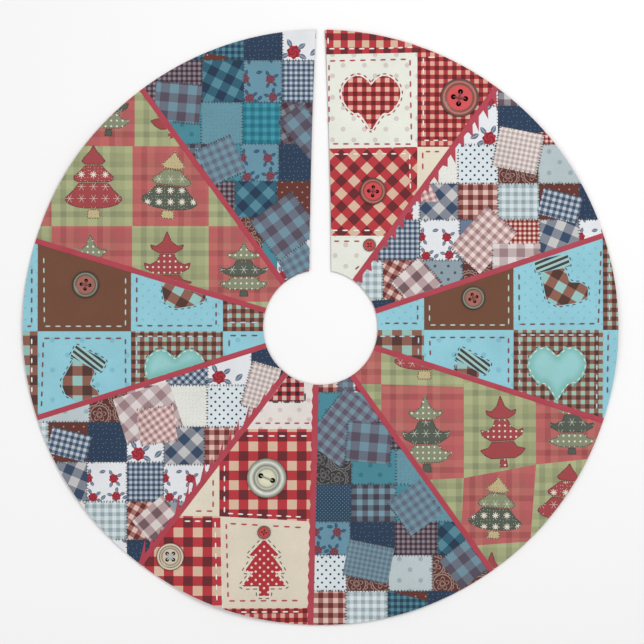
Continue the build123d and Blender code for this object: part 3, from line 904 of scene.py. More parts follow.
GORE_CLOTHS = {
    1: [
        patch("cream_spots", (-10, 90), (180, 90), (180, 172), (-10, 172), start=(27.5, 134.7)),
        patch("red_band_check", (-10, 512), (182, 516), (182, FAR), (-10, FAR), start=(11, 512)),
        patch("cream_spots", (-10, 335), (182, 339), (182, 516), (-10, 512), start=(2.5, 452)),
        patch("red_small_check", (182, 339), (400, 339), (400, FAR), (182, FAR), start=(181, 516)),
        patch("red_bias_check", (-10, 172), (181, 172), (182, 339), (-10, 335), turn=45, start=(39, 311)),
        patch("beige", (181, 172), (340, 172), (340, 339), (182, 339)),
    ],
    2: [
        *row(FAR, 416, 150, (333, "rose_large"), (FAR, "grey_plaid")),
        *row(416, 343, 150, (333, "rose_large"), (FAR, "navy_specks")),
        *row(343, 270, 110, (258, "cream_specks"), (333, "polka_white"), (409, "maroon_paisley"),
             (FAR, "big_grey_spots")),
        *row(270, 202, 80, (186, "rose_print"), (258.5, "blue_check", 45), (333, "wine_check"),
             (410, "ice_check"), (486, "maroon_dots"), (FAR, "navy_specks")),
        *row(202, 126, 60, (187, "navy_check"), (261, "rose_print"), (333, "slate"),
             (411, "red_tiny_check"), (486, "blue_check", -23), (FAR, "rose_print")),
        *row(126, -10, 40, (117, "ice_check"), (190, "wine_check", -30), (267, "polka_grey"),
             (FAR, "maroon_paisley")),
        patch("red_tiny_check", (409, 343), (450, 343), (450, 366), (409, 366)),
        patch("pink_check", (168, 236), (224, 236), (206, 268), (186, 262), turn=20),
        patch("navy_specks", (96, 36), (140, 36), (140, 53), (96, 50)),
    ],
    3: [
        *row(220, -5, 60, (194.5, "sky_spots"), (362.4, "brown_plain"), (530, "sky_spots"),
             (FAR, "brown_mint_check")),
        *row(-5, -220, 60, (194.5, "brown_mint_large"), (362.4, "sky_large_spots"), (530, "brown_mint_check"),
             (FAR, "sky_spots")),
    ],
    4: [
        patch("red_plaid", (60, -106), (114, -107), (114, 40), (60, 40)),
        patch("green_plaid", (114, -107), (269, -112), (269, 60), (114, 60)),
        patch("green_plaid", (60, -300), (114, -290), (114, -107), (60, -106)),
        patch("red_plaid", (114, -290), (269, -283), (269, -112), (114, -107)),
        patch("green_plaid", (269, -283), (404.7, -257.5), (404.7, -60), (269, -60)),
        patch("red_plaid", (404.7, -257.5), (FAR, -235), (FAR, -60), (404.7, -60)),
        patch("green_plaid", (100, -FAR), (263, -FAR), (263, -412), (269, -283), (100, -291)),
        patch("red_plaid", (263, -412), (394, -402), (404.7, -257.5), (269, -283)),
        patch("green_plaid", (394, -402), (394, -FAR), (FAR, -FAR), (FAR, -235), (404.7, -257.5)),
        patch("green_plaid", (263, -FAR), (394, -FAR), (394, -402), (263, -412)),
    ],
    5: [
        *row(-60, -122, -60, (32, "wine_check"), (62, "lilac_check"), (85, "rose_print"),
             (FAR, "teal_specks")),
        *row(-122, -229, -60, (57, "teal_spots"), (97, "teal_specks"), (FAR, "wine_teal_check")),
        *row(-229, -295, -60, (57.8, "dark_paisley"), (142, "teal_spots"), (FAR, "teal_specks")),
        *row(-295, -365, -60, (57.8, "navy_dots"), (141, "teal_wine_check"), (168, "teal_spots"),
             (FAR, "teal_specks")),
        *row(-365, -428, -60, (55.7, "rose_teal"), (139, "navy_specks"), (220, "wine_teal_check"),
             (FAR, "teal_check", 45)),
        *row(-428, -495, -60, (48.5, "polka_white"), (128, "maroon_paisley"), (210, "pale_spots"),
             (FAR, "maroon_paisley")),
        *row(-495, -FAR, -60, (47.5, "wine_check"), (126, "white_grey_check"), (201, "teal_navy_check"),
             (FAR, "navy_specks")),
        patch("maroon_dots", (131, -495.5), (201, -514), (201, -495.5)),
    ],
    6: [
        patch("pink_spots", (-220, -191), (20, -191), (20, -60), (-220, -60)),
        patch("red_check", (-190, -355), (20, -367), (20, -191), (-190, -191), start=(-190, -360)),
        patch("beige", (-300, -354), (-190, -355), (-190, -191), (-300, -191)),
        patch("red_check", (-400, -FAR), (-183, -FAR), (-188, -355), (-400, -353), start=(-185, -558)),
        patch("cream_plain", (-183, -527), (20, -527), (20, -367), (-188, -356)),
        patch("red_small_check", (-183, -FAR), (20, -FAR), (20, -527), (-183, -527)),
    ],
    7: [
        *row(-30, -109, -FAR, (-290, "cream_specks"), (-212, "navy_small_check", 45), (-130, "rose_large"),
             (-40, "navy_specks")),
        *row(-109, -187, -290, (-213, "cream_specks"), (-135, "polka_white"), (-40, "blush_check")),
        *row(-109, -178, -FAR, (-434, "pale_spots"), (-363.5, "maroon_paisley"), (-290, "mauve_check")),
        *row(-178, -253, -FAR, (-511, "ice_check"), (-437, "maroon_dots"), (-363.5, "navy_specks"),
             (-294.5, "rose_large")),
        *row(-187, -258, -294.5, (-218, "blue_check", 45), (-40, "wine_check")),
        *row(-253, -327, -FAR, (-438, "blue_check", -23), (-363.5, "rose_print"), (-294.5, "navy_check")),
        *row(-258, -327, -294.5, (-40, "rose_print")),
        *row(-327, -399, -FAR, (-442.7, "cream_specks"), (-363.7, "ice_check"), (-302, "wine_check", -30),
             (-40, "polka_grey")),
        *row(-399, -FAR, -FAR, (-363.7, "rose_print"), (-40, "navy_specks")),
    ],
    8: [
        *row(220, -7.5, -FAR, (-531, "sky_spots"), (-355.8, "brown_plain"), (-183.3, "sky_spots"),
             (-40, "brown_mint_check")),
        *row(-7.5, -220, -FAR, (-531, "brown_mint_large"), (-355.8, "sky_large_spots"),
             (-183.3, "brown_mint_check"), (-40, "sky_large_spots")),
    ],
    9: [
        *row(FAR, 340, -FAR, (-349, "red_plaid"), (-60, "green_plaid")),
        *row(340, 190, -FAR, (-505, "red_plaid"), (-353, "green_plaid"), (-210, "red_plaid"),
             (-60, "green_plaid")),
        *row(190, 48, -FAR, (-505, "green_plaid"), (-354, "red_plaid"), (-210, "green_plaid"),
             (-60, "red_plaid")),
        *row(48, -30, -FAR, (-60, "green_plaid")),
    ],
    10: [
        *row(FAR, 501.6, -FAR, (-144, "teal_navy_check"), (-71.4, "navy_specks"), (10, "rose_large")),
        *row(501.6, 422.6, -FAR, (-222, "wine_teal_check"), (-144, "teal_check", -27), (-72.3, "rose_teal"),
             (10, "navy_check")),
        *row(422.6, 344.5, -FAR, (-224, "teal_spots"), (-146.6, "teal_specks"), (-75, "bright_teal_check"),
             (10, "wine_teal_large", 28)),
        *row(344.5, 274.5, -FAR, (-200, "teal_wine_check"), (-149, "teal_spots"), (-78.5, "rose_teal"),
             (10, "navy_specks")),
        *row(274.5, 206, -FAR, (-161.6, "wine_teal_check"), (-81.7, "teal_check", 45), (10, "maroon_dots")),
        *row(206, 90, -FAR, (-109, "maroon_paisley"), (-81, "teal_spots"), (10, "rose_print")),
        patch("maroon_dots", (-222, 502), (-177, 502), (-177, 509), (-216, 515)),
    ],
}

# Loose squares over the patchwork, uppermost first: centre, width, height, tilt, fabric and perhaps the
# turn of its print, where that is not the tilt.
LOOSE_PATCHES = {
    2: (
        (371, 332, 85, 76, -11.5, "blush_check"),
        (368, 132, 90, 50, 0, "pale_mauve_check"),
        (306, 164, 104, 76, 48, "rose_check"),
        (180, 84, 72, 66, 42, "mauve_check"),
        (450, 228, 76, 50, -14, "navy_tilt_check"),
    ),
    5: (
        (91, -216, 84, 76, -5, "lilac_large_check"),
        (43, -187, 84, 126, -38, "lilac_check"),
        (178, -339, 74, 76, 35, "lilac_small_check"),
        (90, -440, 86, 68, -11.5, "slate_check"),
        (268, -446, 62, 68, 38, "lilac_large_check"),
    ),
    6: ((-64, -112, 66, 54, 0, "black_red_check"),),
    7: (
        (-307, -184, 70, 68, 8, "pink_check", 35),
        (-324, -160, 110, 88, 18, "pale_mauve_check", 42),
        (-112, -112, 56, 86, -16, "blush_check"),
        (-472, -220, 76, 50, -14, "navy_tilt_check"),
        (-308, -360, 74, 54, 41, "mauve_check"),
    ),
    10: (
        (-268, 422, 86, 74, -5, "lilac_large_check"),
        (-187, 313, 72, 74, 24, "lilac_small_check"),
        (-66, 190, 97, 92, 37, "lilac_large_check"),
        (-28, 368, 56, 92, 40, "lilac_large_check"),
        (-46, 128, 64, 58, 30, "lilac_small_check"),
    ),
}

# Trees: kind, top, width and height shares, tilt, and the fabric of each tier and of the trunk.
TIER_ENDS = {"bell": (38.5, 71.5, 119.5), "curled": (50.5, 95.5, 131.5)}
CORNER_PASSES = {"bell": 1, "curled": 1}  # how far the corners of each kind are rounded off
LEAN_DEPTH = 75.0  # a print is centred this far below the top, whatever the tilt, in millimetres
GREEN_CURLED = ("green_dots", "pine_flakes", "green_dots", "pine_plain")
RED_CURLED = ("tree_red", "red_dots", "tree_red", "red_dots")
TAN_BELL = ("tree_tan", "green_flakes", "pine_stars", "tree_tan")
RED_BELL = ("tree_red", "red_stars", "red_flakes", "tree_tan")
TREES = {
    4: (
        ("curled", 196, -124, 1.0, 1.5, GREEN_CURLED),
        ("curled", 337, -126, 0.92, 3, RED_CURLED),
        ("curled", 472, -124, 0.77, 0, GREEN_CURLED),
        ("bell", 335, -278, 0.86, -5, TAN_BELL),
        ("bell", 468, -254, 0.92, -6, RED_BELL),
        ("curled", 322, -419, 0.9, -4, RED_CURLED),
        ("bell", 195, 34, 0.95, 0, RED_BELL),
    ),
    9: (
        ("bell", -426, 343, 1.0, 0, RED_BELL),
        ("bell", -273, 332, 0.93, -6.5, TAN_BELL),
        ("curled", -398, 478, 0.8, 0, GREEN_CURLED),
        ("curled", -279, 489, 0.9, 0, RED_CURLED),
        ("curled", -432, 178, 0.95, 0, GREEN_CURLED),
        ("curled", -288, 182, 0.86, 0, RED_CURLED),
        ("curled", -144, 162, 0.7, 0, GREEN_CURLED),
    ),
}

# Stockings: ankle and tilt, and the turns of the boot's check and the cuff's stripes.
STOCKINGS = {
    3: ((447, 88, 12, 60, 112), (275, -96, -28, 0, 52)),
    8: ((-447, -91, -28, 0, 52), (-270, 83, 12, 60, 112)),
}
CUFF_EDGE = 21.5  # up from the ankle, in millimetres


def tree_cloth(number, loop):
    """The tree tier that an outline belongs to."""
    centre = middle(loop)
    found = []
    for kind, x, y, high, tilt, names in TREES[number]:
        local = turned(centre - place(x, y), -tilt) / MM
        if -160 < local.y / high < 2:
            tier = sum(-local.y / high > end for end in TIER_ENDS[kind])
            lean = LEAN_DEPTH * math.sin(math.radians(tilt))
            found.append((abs(local.x), names[tier], place(x + lean, y), CORNER_PASSES[kind]))
    _, name, start, passes = min(found)
    return Cloth(name, softened(loop, passes), 0.0, start)


def stocking_cloth(number, loop):
    """The cuff or boot that an outline belongs to."""
    centre = middle(loop)
    nearest = min(STOCKINGS[number], key=lambda s: (centre - place(s[0], s[1])).length)
    x, y, tilt, check_turn, stripe_turn = nearest
    local = turned(centre - place(x, y), -tilt) / MM
    if local.y > CUFF_EDGE:
        return Cloth("cuff_stripes", loop, stripe_turn, place(x, y))
    return Cloth("boot_check", loop, check_turn, place(x, y))


def patch_cloth(number, loop):
    """The loose square that an outline belongs to: the uppermost one that holds all of it, and its order."""
    for order, (x, y, width, height, tilt, name, *turn) in enumerate(LOOSE_PATCHES[number]):
        if all(inside(as_rows(loop), rectangle(x, y, width + 2, height + 2, tilt))):
            return Cloth(name, loop, turn[0] if turn else tilt, place(x, y)), order
    raise ValueError(f"an outline of gore {number} fits none of its loose squares")


def as_rows(points):
    return np.array([(p.x, p.y) for p in points])


def make_gore(number):
    """The patchwork face of one gore."""
    face = f"gore_{number:02d}_face"
    thickness = FACE_TOP - FACE_BOTTOM
    cloths = GORE_CLOTHS[number]
    made = sheet(f"gore_{number:02d}", GORE_LOOPS[number], cloths, FACE_TOP, thickness, MESH_STEP)
    stand_for(made, face)
    return made


def sewn_shape(name, cloth, lift=0.0, padding=0.0):
    """One shape sewn on the face and turned down at its edge. Padding makes it full in the middle."""
    level = FACE_TOP + PUFF + SEWN_PROUD + lift
    thickness = SEWN_PROUD + 0.6 * MM + lift + padding
    drop = SEWN_PROUD * 0.8 + padding
    width = PADDED_EDGE if padding else EDGE_WIDTH
    return sheet(name, cloth.area, [cloth], level + padding, thickness, SHAPE_STEP, 0.0, 0.0, drop, width)


def make_sewn(number):
    """The loose squares, heart, stockings and trees of one gore, each kind one piece."""
    made = []
    for kind in ("loose_patches", "heart", "stockings", "trees", "tree"):
        node = f"gore_{number:02d}_{kind}"
        if node not in frame["nodes"]:
            continue
        parts = []
        for loop in top_loops(node):
            lift = 0.0
            if kind == "loose_patches":
                cloth, order = patch_cloth(number, loop)
                lift = UPPERMOST_LIFT * (order == 0)
            elif kind == "stockings":
                cloth = stocking_cloth(number, loop)
            elif kind == "trees":
                cloth = tree_cloth(number, loop)
            elif kind == "tree":
                cloth = Cloth("polka_red", loop)
            else:
                cloth = Cloth("red_heart_check" if number == 1 else "heart_teal", loop)
            parts.append(sewn_shape(f"{node}_part", cloth, lift, HEART_PADDING * (kind == "heart")))
            SEWN_LOOPS[number].append(("red heart" if kind == "heart" and number == 1 else kind, cloth))
        piece = joined(f"gore_{number:02d}_sewn_{kind}", parts)
        stand_for(piece, node)
        made.append(piece)
    return made


# How far sewn-on shapes stand proud, and the loose square that lies over the others.
SEWN_PROUD = 0.6 * MM
UPPERMOST_LIFT = 0.3 * MM
HEART_PADDING = 1.2 * MM
PADDED_EDGE = 18.0 * MM
SEWN_LOOPS = {gore: [] for gore in range(1, GORES + 1)}
GROUNDS = {}
for gore in range(1, GORES + 1):
    GROUNDS[gore] = [make_gore(gore), *make_sewn(gore)]

# ---------------------------------------------------------------- stitching


def bvh_of(objects):
    """One search tree over several meshes."""
    points, faces = [], []
    for thing in objects:
        start = len(points)
        points.extend(v.co.copy() for v in thing.data.vertices)
        faces.extend([start + i for i in face.vertices] for face in thing.data.polygons)
    return BVHTree.FromPolygons(points, faces)


# A stitch: where along it its rings lie, and the points of a ring as shares of half its width and its height.
RING_SHARES = (0.2, 0.5, 0.8)
RING = ((1, 0.0), (0.6, 0.85), (-0.6, 0.85), (-1, 0.0), (0, -0.9))
SKIRT_MARGIN = 3 * MM
RIBBON_MARGIN = 8 * MM
BUTTON_MARGIN = 2 * MM
ABOVE_ALL = 0.05
WHIP_LENGTH = 6.0 * MM
WHIP_WIDTH = 1.6 * MM
BLANKET_STEP = 5 * MM
OUTLINE_STEP = 3 * MM
PATCHWORK_GORES = (2, 5, 7, 10)


class Stitching:
    """All the hand stitches on one gore: short arched threads lying on the cloth."""

    def __init__(self, number):
        self.number = number
        self.ground = bvh_of(GROUNDS[number])
        self.points = []
        self.faces = []
        self.slots = []
        self.threads = []
        self.chance = random.Random(number)
        self.loops = [cloth.area for _, cloth in SEWN_LOOPS[number]]

    def allowed(self, point, over):
        """Whether a stitch may be here: on the gore, clear of ribbons and buttons, and not under a shape."""
        if not NECK_RADIUS + SKIRT_MARGIN < point.length < RIM_RADIUS - SKIRT_MARGIN:
            return False
        spot = as_rows([point])
        if not inside(spot, GORE_LOOPS[self.number])[0]:
            return False
        for seam in (self.number - 1, self.number):
            if seam in SEAMS and abs(aside(SEAMS[seam], spot)[0]) < RIBBON_MARGIN:
                return False
        for centre, size in BUTTONS.values():
            if (point - centre.to_2d()).length < size + BUTTON_MARGIN:
                return False
        return over or not any(inside(spot, loop)[0] for loop in self.loops)

    def stitch(self, start, end, thread, width, over):
        """One stitch from start to end."""
        if not (self.allowed(start, over) and self.allowed(end, over)):
            return
        along = (end - start).normalized()
        side = Vector((-along.y, along.x)) * width / 2
        heights = []
        for share in (0.0, *RING_SHARES, 1.0):
            spot = start.lerp(end, share)
            hit = self.ground.ray_cast(Vector((spot.x, spot.y, ABOVE_ALL)), Vector((0, 0, -1)))[0]
            if hit is None:
                return
            heights.append(hit.z)
        proud = width * 0.3
        first = len(self.points)
        self.points.append(Vector((*start, heights[0] - proud)))
        for share, z in zip(RING_SHARES, heights[1:4]):
            spot = start.lerp(end, share)
            fat = 1.0 if share == 0.5 else 0.85
            for reach, rise in RING:
                flat = spot + side * reach * fat
                self.points.append(Vector((*flat, z + proud * (0.5 + rise * fat))))
        self.points.append(Vector((*end, heights[4] - proud)))
        last = len(self.points) - 1
        if thread not in self.threads:
            self.threads.append(thread)
        before = len(self.faces)
        sides = len(RING)
        rings = [first + 1 + sides * k for k in range(len(RING_SHARES))]
        for i in range(sides):
            j = (i + 1) % sides
            self.faces.append((first, rings[0] + j, rings[0] + i))
            for here, after in zip(rings, rings[1:]):
                self.faces.append((here + i, here + j, after + j, after + i))
            self.faces.append((rings[-1] + i, rings[-1] + j, last))
        self.slots.extend([self.threads.index(thread)] * (len(self.faces) - before))

    def run(self, points, thread, length=13.0, gap=6.0, width=3.0, over=False, closed=False):
        """Running stitches along a line, sizes in millimetres."""
        ends = points + points[:1] if closed else points
        spans = [(b - a).length for a, b in zip(ends, ends[1:])]
        total = sum(spans)
        count = max(1, round(total / ((length + gap) * MM)))
        pitch = total / count
        for i in range(count):
            begin = i * pitch
            finish = begin + pitch * length / (length + gap)
            wobble = self.chance.uniform(-0.5, 0.5) * MM
            a, b = walk(ends, spans, begin + wobble), walk(ends, spans, finish + wobble)
            self.stitch(a, b, thread, width * MM, over)

    def whip(self, a, b, thread, pitch=5.5, over=False):
        """Short stitches across the line from a to b, their pitch in millimetres."""
        along = (b - a).normalized()
        out = Vector((-along.y, along.x))
        count = int((b - a).length / (pitch * MM))
        for i in range(count):
            spot = a.lerp(b, (i + 0.5 + self.chance.uniform(-0.15, 0.15)) / count)
            slant = (out + along * self.chance.uniform(-0.25, 0.25)).normalized()
            reach = slant * WHIP_LENGTH * self.chance.uniform(0.8, 1.15) / 2
            self.stitch(spot - reach, spot + reach, thread, WHIP_WIDTH, over)

    def finish(self):
        """Makes one piece of all the stitches so far."""
        materials = [thread_material(thread) for thread in self.threads]
        name = f"gore_{self.number:02d}_stitches"
        made = add_mesh(name, self.points, self.faces, materials, self.slots, smooth=True)
        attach(made, BODY_OF[f"gore_{self.number:02d}_face"])


def walk(points, spans, distance):
    """The point a distance along a line."""
    distance = max(0.0, distance)
    for a, b, span in zip(points, points[1:], spans):
        if distance <= span and span > 0:
            return a.lerp(b, distance / span)
        distance -= span
    return points[-1]


def grown(loop, distance):
    """An outline moved outward by a distance."""
    made = []
    for before, here, after in zip(loop[-1:] + loop[:-1], loop, loop[1:] + loop[:1]):
        out = Vector(((after - before).y, -(after - before).x)).normalized()
        made.append(here + out * distance)
    return made


# Running stitches round the squares: thread, then the points of the line.
RUNS = {
    1: (
        ("white", (14, 545), (14.5, 523), (90, 523), (180, 526)),
        ("red", (16, 345), (16, 500), (168, 503.5), (171, 344), (16, 344.5)),
        ("white", (240, 507), (193, 507), (193, 351), (262, 351)),
        ("white", (24, 325), (167, 326), (170.5, 200)),
        ("white", (20, 182), (140, 182)),
        ("red", (240, 330), (192, 330), (192, 268)),
        ("red", (24, 161.7), (80, 161.7)),
        ("wine", (98, 138), (48, 93)),
    ),
    3: (
        ("wine", (182.4, 60), (182.4, 7.6), (114, 7.6)),
        ("cream", (204.5, 62), (204.5, 4.3), (353, 4.3), (353, 108)),
        ("wine", (372.8, 120), (373, 5.7), (521, 7), (527, 150)),
        ("lilac", (542, 160), (542, 6)),
        ("lilac", (110, -17), (184, -17), (183.3, -80)),
        ("wine", (207, -70), (205, -19), (353, -19), (353, -130)),
        ("lilac", (374, -130), (373.7, -14.5), (518.5, -14.5), (518.5, -160)),
        ("wine", (562, -12), (539.6, -12), (538, -170)),
    ),
    6: (
        ("black", (-92, -140.5), (-29, -140.5), (-29, -112)),
        ("red", (-160, -180), (-14, -180)),
        ("white", (-160, -204), (-18, -204), (-18, -357), (-180.4, -349), (-180.4, -214)),
        ("red", (-201.6, -266), (-201.6, -345), (-262, -345)),
        ("white", (-276, -364), (-198, -364), (-194, -520)),
        ("red", (-16, -377), (-177, -368), (-173, -513), (-16, -513)),
        ("white", (-170, -534), (-14, -534)),
    ),
    8: (
        ("wine", (-542, 130), (-542, 2), (-556, 2)),
        ("cream", (-520, 150), (-518, 2), (-366, 2), (-366, 100)),
        ("wine", (-345, 95), (-345, 3), (-196, 3), (-196, 52)),
        ("lilac", (-173.4, 42), (-173.4, 9), (-110, 9)),
        ("white", (-556, -20), (-542, -20), (-542, -165)),
        ("wine", (-524, -150), (-520, -20.6), (-366, -20.6), (-366, -130)),
        ("lilac", (-345.4, -110), (-345.4, -17), (-194.5, -17), (-194.5, -70)),
        ("wine", (-171.5, -60), (-171.5, -15.4), (-110, -15.4)),
    ),
}

# The stitching round each kind of sewn shape: thread, distance outside, length, gap, width, and whether it
# lies on top of a shape.
OUTLINED = {
    "heart": (("black", 2.6, 7.0, 5.0, 1.8, False), ("white", -1.8, 9.0, 4.0, 1.8, True)),
    "stockings": (("black", 2.8, 8.0, 4.5, 1.8, False),),
    "trees": (("brown", -0.9, 3.6, 1.0, 1.7, True),),
    "tree": (("brown", 5.0, 9.0, 4.5, 1.8, False), ("white", 1.6, 9.0, 2.5, 1.6, False)),
    "red heart": (("red", 4.2, 9.0, 4.0, 2.4, False), ("white", 1.0, 9.0, 0.3, 2.2, False)),
}


def stitch_gore(number):
    """Every stitch on one gore."""
    sewing = Stitching(number)
    for thread, *line in RUNS.get(number, ()):
        for a, b in zip(line, line[1:]):
            sewing.run([place(*a), place(*b)], thread)
    for kind, cloth in SEWN_LOOPS[number]:
        for thread, outside, length, gap, width, over in OUTLINED.get(kind, ()):
            line = resampled(grown(cloth.area, outside * MM), OUTLINE_STEP)
            sewing.run(line, thread, length, gap, width, over, closed=True)
    if number in PATCHWORK_GORES:
        for cloth in GORE_CLOTHS[number]:
            corners = cloth.area
            for a, b in ((corners[0], corners[-1]), (corners[-1], corners[-2])):
                sewing.whip(a, b, "ink")
    placed = []
    for x, y, width, height, tilt, *_ in LOOSE_PATCHES.get(number, ()):
        corners = rectangle(x, y, width, height, tilt)
        for a, b in zip(corners, corners[1:] + corners[:1]):
            count = max(1, round((b - a).length / BLANKET_STEP))
            for i in range(count):
                p, q = a.lerp(b, i / count), a.lerp(b, (i + 1) / count)
                if not any(inside(as_rows([p.lerp(q, 0.5)]), above)[0] for above in placed):
                    sewing.whip(p, q, "ink", pitch=5.0, over=True)
        placed.append(corners)
    sewing.finish()


def thread_material(colour):
    """Twisted sewing thread, made the first time its colour is asked for."""
    name = f"thread_{colour}"
    if name not in made_fabrics:
        shader = Shader(name)
        fuzz = shader.noise(1.2 * MM, 3.0)
        fade = shader.noise(30 * MM)
        shade = shader.math("MULTIPLY_ADD", fuzz, 0.4, 0.78)
        shade = shader.math("MULTIPLY", shade, shader.math("MULTIPLY_ADD", fade, 0.1, 0.95))
        shader.tint(THREADS[colour], shade)
        shader.set("Roughness", shader.math("MULTIPLY_ADD", fuzz, 0.2, 0.6))
        shader.set("Sheen Weight", 0.3)
        made_fabrics[name] = shader.material
    return made_fabrics[name]


THREADS = {
    "white": srgb(244, 240, 236),
    "cream": srgb(190, 208, 196),
    "red": srgb(180, 58, 74),
    "wine": srgb(120, 62, 66),
    "black": srgb(44, 42, 46),
    "brown": srgb(66, 48, 40),
    "ink": srgb(50, 52, 60),
    "lilac": srgb(196, 206, 222),
    "grey": srgb(150, 150, 140),
    "rust": srgb(132, 70, 66),
}
for gore in range(1, GORES + 1):
    stitch_gore(gore)

# ---------------------------------------------------------------- linings, ribbons and seam backings


# The lining lies just below the face. Its hems, and the seam allowances, are folded under it.
LAYER_GAP = 0.05 * MM
LINING_THICKNESS = 0.55 * MM
LINING_STEP = 12 * MM
HEMS = ((RIM_RADIUS, -16 * MM), (NECK_RADIUS, 12 * MM))  # the circle of each, and its depth outward
HEM_LEVEL = 1.8 * MM
HEM_THICKNESS = 1.7 * MM
ON_CIRCLE = 0.5 * MM


def arc_band(loop, radius, depth):
    """The band of an outline that lies along a circle, this deep towards the middle of the cloth."""
    count = len(loop)
    on = [abs(p.length - radius) < ON_CIRCLE for p in loop]
    start = next(i for i in range(count) if on[i] and not on[i - 1])
    edge = []
    while on[(start + len(edge)) % count] and len(edge) < count:
        edge.append(loop[(start + len(edge)) % count])
    inner = [p * ((radius + depth) / radius) for p in reversed(edge)]
    return edge + inner


def make_lining(number):
    """The lining of one gore, with the hems turned up at the rim and neck."""
    node = f"gore_{number:02d}_lining"
    loop = GORE_LOOPS[number]
    level = FACE_BOTTOM - LAYER_GAP
    field = [Cloth("lining", loop)]
    parts = [sheet(f"{node}_field", loop, field, level, LINING_THICKNESS, LINING_STEP, 0.0)]
    for radius, depth in HEMS:
        band = arc_band(loop, radius, depth)
        if band_area(band) < 0:
            band.reverse()
        hem = [Cloth("lining", band)]
        parts.append(sheet(f"{node}_hem", band, hem, HEM_LEVEL, HEM_THICKNESS, MESH_STEP, 0.0))
    stand_for(joined(f"lining_{number:02d}", parts), node)


def band_area(points):
    """Twice the area of an outline, positive where it runs anticlockwise."""
    return sum(a.x * b.y - b.x * a.y for a, b in zip(points, points[1:] + points[:1]))


RIBBON_HALF = 5.0 * MM
RIBBON_PROUD = 0.7 * MM
RIBBON_THICKNESS = 1.1 * MM
RIBBON_STEP = 3 * MM
RIBBON_EDGE_DROP = 0.4 * MM
BACKING_HALF = 9.0 * MM
BACKING_LEVEL = 1.78 * MM
BACKING_THICKNESS = 1.6 * MM
BACKING_STEP = 4.5 * MM


def strip(line, half, tips=()):
    """The outline of a strip along a seam, with pointed tips on its clockwise side.

    Each tip is where it starts and ends, as shares of the length, and where its point lies."""
    along = (line[1] - line[0]).normalized()
    out = Vector((along.y, -along.x)) * half
    clockwise = [line[0] + out]
    for first, last, point in tips:
        clockwise += [line[0].lerp(line[1], first) + out, point, line[0].lerp(line[1], last) + out]
    made = clockwise + [line[1] + out, line[1] - out, line[0] - out]
    return [p if p.length > NECK_RADIUS else p.normalized() * NECK_RADIUS for p in made]


FRINGED = {1: -1, 6: 1}  # seams with a fringe of long points, and the way it hangs along Y
FRINGE = 17  # how many points a fringe has
WAVY = 5  # the seam whose ribbon is gathered, so that its edge waves
WAVES = 22


def fringe(number):
    """The long slanting points along one side of a ribbon, uneven as if cut by hand."""
    line = SEAMS[number]
    chance = random.Random(number)
    length = (line[1] - line[0]).length
    made = []
    for i in range(FRINGE):
        begin = (i + chance.uniform(0.1, 0.3)) / FRINGE
        end = begin + chance.uniform(0.45, 0.6) / FRINGE
        root = line[0].lerp(line[1], end if number == 1 else begin)
        reach = chance.uniform(20, 38) * MM * (0.55 + 0.45 * begin)
        side = (1 if number == 1 else -1) * chance.uniform(3, 6) * MM
        made.append((begin, end, root + Vector((side, FRINGED[number] * reach))))
    return [tip for tip in made if tip[2].length > NECK_RADIUS + 3 * MM]


def waves(number):
    """Small waves along one side of a ribbon."""
    line = SEAMS[number]
    along = (line[1] - line[0]).normalized()
    out = Vector((along.y, -along.x))
    made = []
    for i in range(WAVES):
        crest = line[0].lerp(line[1], (i + 0.5) / WAVES) + out * RIBBON_HALF * 1.5
        made.append((i / WAVES, (i + 1) / WAVES, crest))
    return made


def make_ribbon(number):
    """The ribbon over one seam. It rides on the gores' body where the two gores it joins are one body."""
    tips = fringe(number) if number in FRINGED else waves(number) if number == WAVY else ()
    outline = strip(SEAMS[number], RIBBON_HALF, tips)
    level = FACE_TOP + PUFF + RIBBON_PROUD
    ribbon = sheet(f"ribbon_{number:02d}", outline, [Cloth("ribbon", outline)], level, RIBBON_THICKNESS,
                   RIBBON_STEP, 0.0, 0.0, RIBBON_EDGE_DROP)
    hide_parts(f"seam_{number:02d}_ribbon")
    bend_at_seam(ribbon, number)


def make_backing(number):
    """The turned-under seam allowance below one seam."""
    outline = strip(SEAMS[number], BACKING_HALF)
    backing = sheet(f"seam_allowance_{number:02d}", outline, [Cloth("tape", outline)], BACKING_LEVEL,
                    BACKING_THICKNESS, BACKING_STEP, 0.0)
    bend_at_seam(backing, number)


def bend_at_seam(piece, number):
    """Rides a piece on the gores' body where both sides of a seam are one body; where they are two, it only
    bakes the piece's place into its points and leaves it on no body.
    """
    before, after = BODY_OF[f"gore_{number:02d}_face"], BODY_OF[f"gore_{number + 1:02d}_face"]
    if before == after:
        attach(piece, before)
        return
    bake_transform(piece)


for gore in range(1, GORES + 1):
    make_lining(gore)
for seam in SEAMS:
    make_ribbon(seam)
    make_backing(seam)

# ---------------------------------------------------------------- buttons


def button_material(name, node, stops):
    """Moulded rings of colour round a button's own centre; on the two-hole cream button some of the rings are
    painted light and shade instead.
    """
    centre, radius = BUTTONS[node]
    shader = Shader(name)
    where = shader.put("ShaderNodeTexCoord", out=3)
    local = shader.put("ShaderNodeVectorMath", where, tuple(centre), operation="SUBTRACT")
    length, _ = shader.polar(*shader.split(local))
    share = shader.math("DIVIDE", length, radius)
    colour = shader.ramp(share, stops)
    cloud = shader.noise(9 * MM, 4.0)
    shade = shader.math("MULTIPLY_ADD", cloud, 0.3, 0.85)
    shader.tint(colour, shade)
    scuff = shader.noise(3 * MM, 5.0)
    shader.set("Roughness", shader.math("MULTIPLY_ADD", scuff, 0.2, 0.35))
    shader.set("Coat Weight", 0.3)
    shader.bump(shader.math("MULTIPLY", scuff, 0.0002), 0.3)
    return shader.material


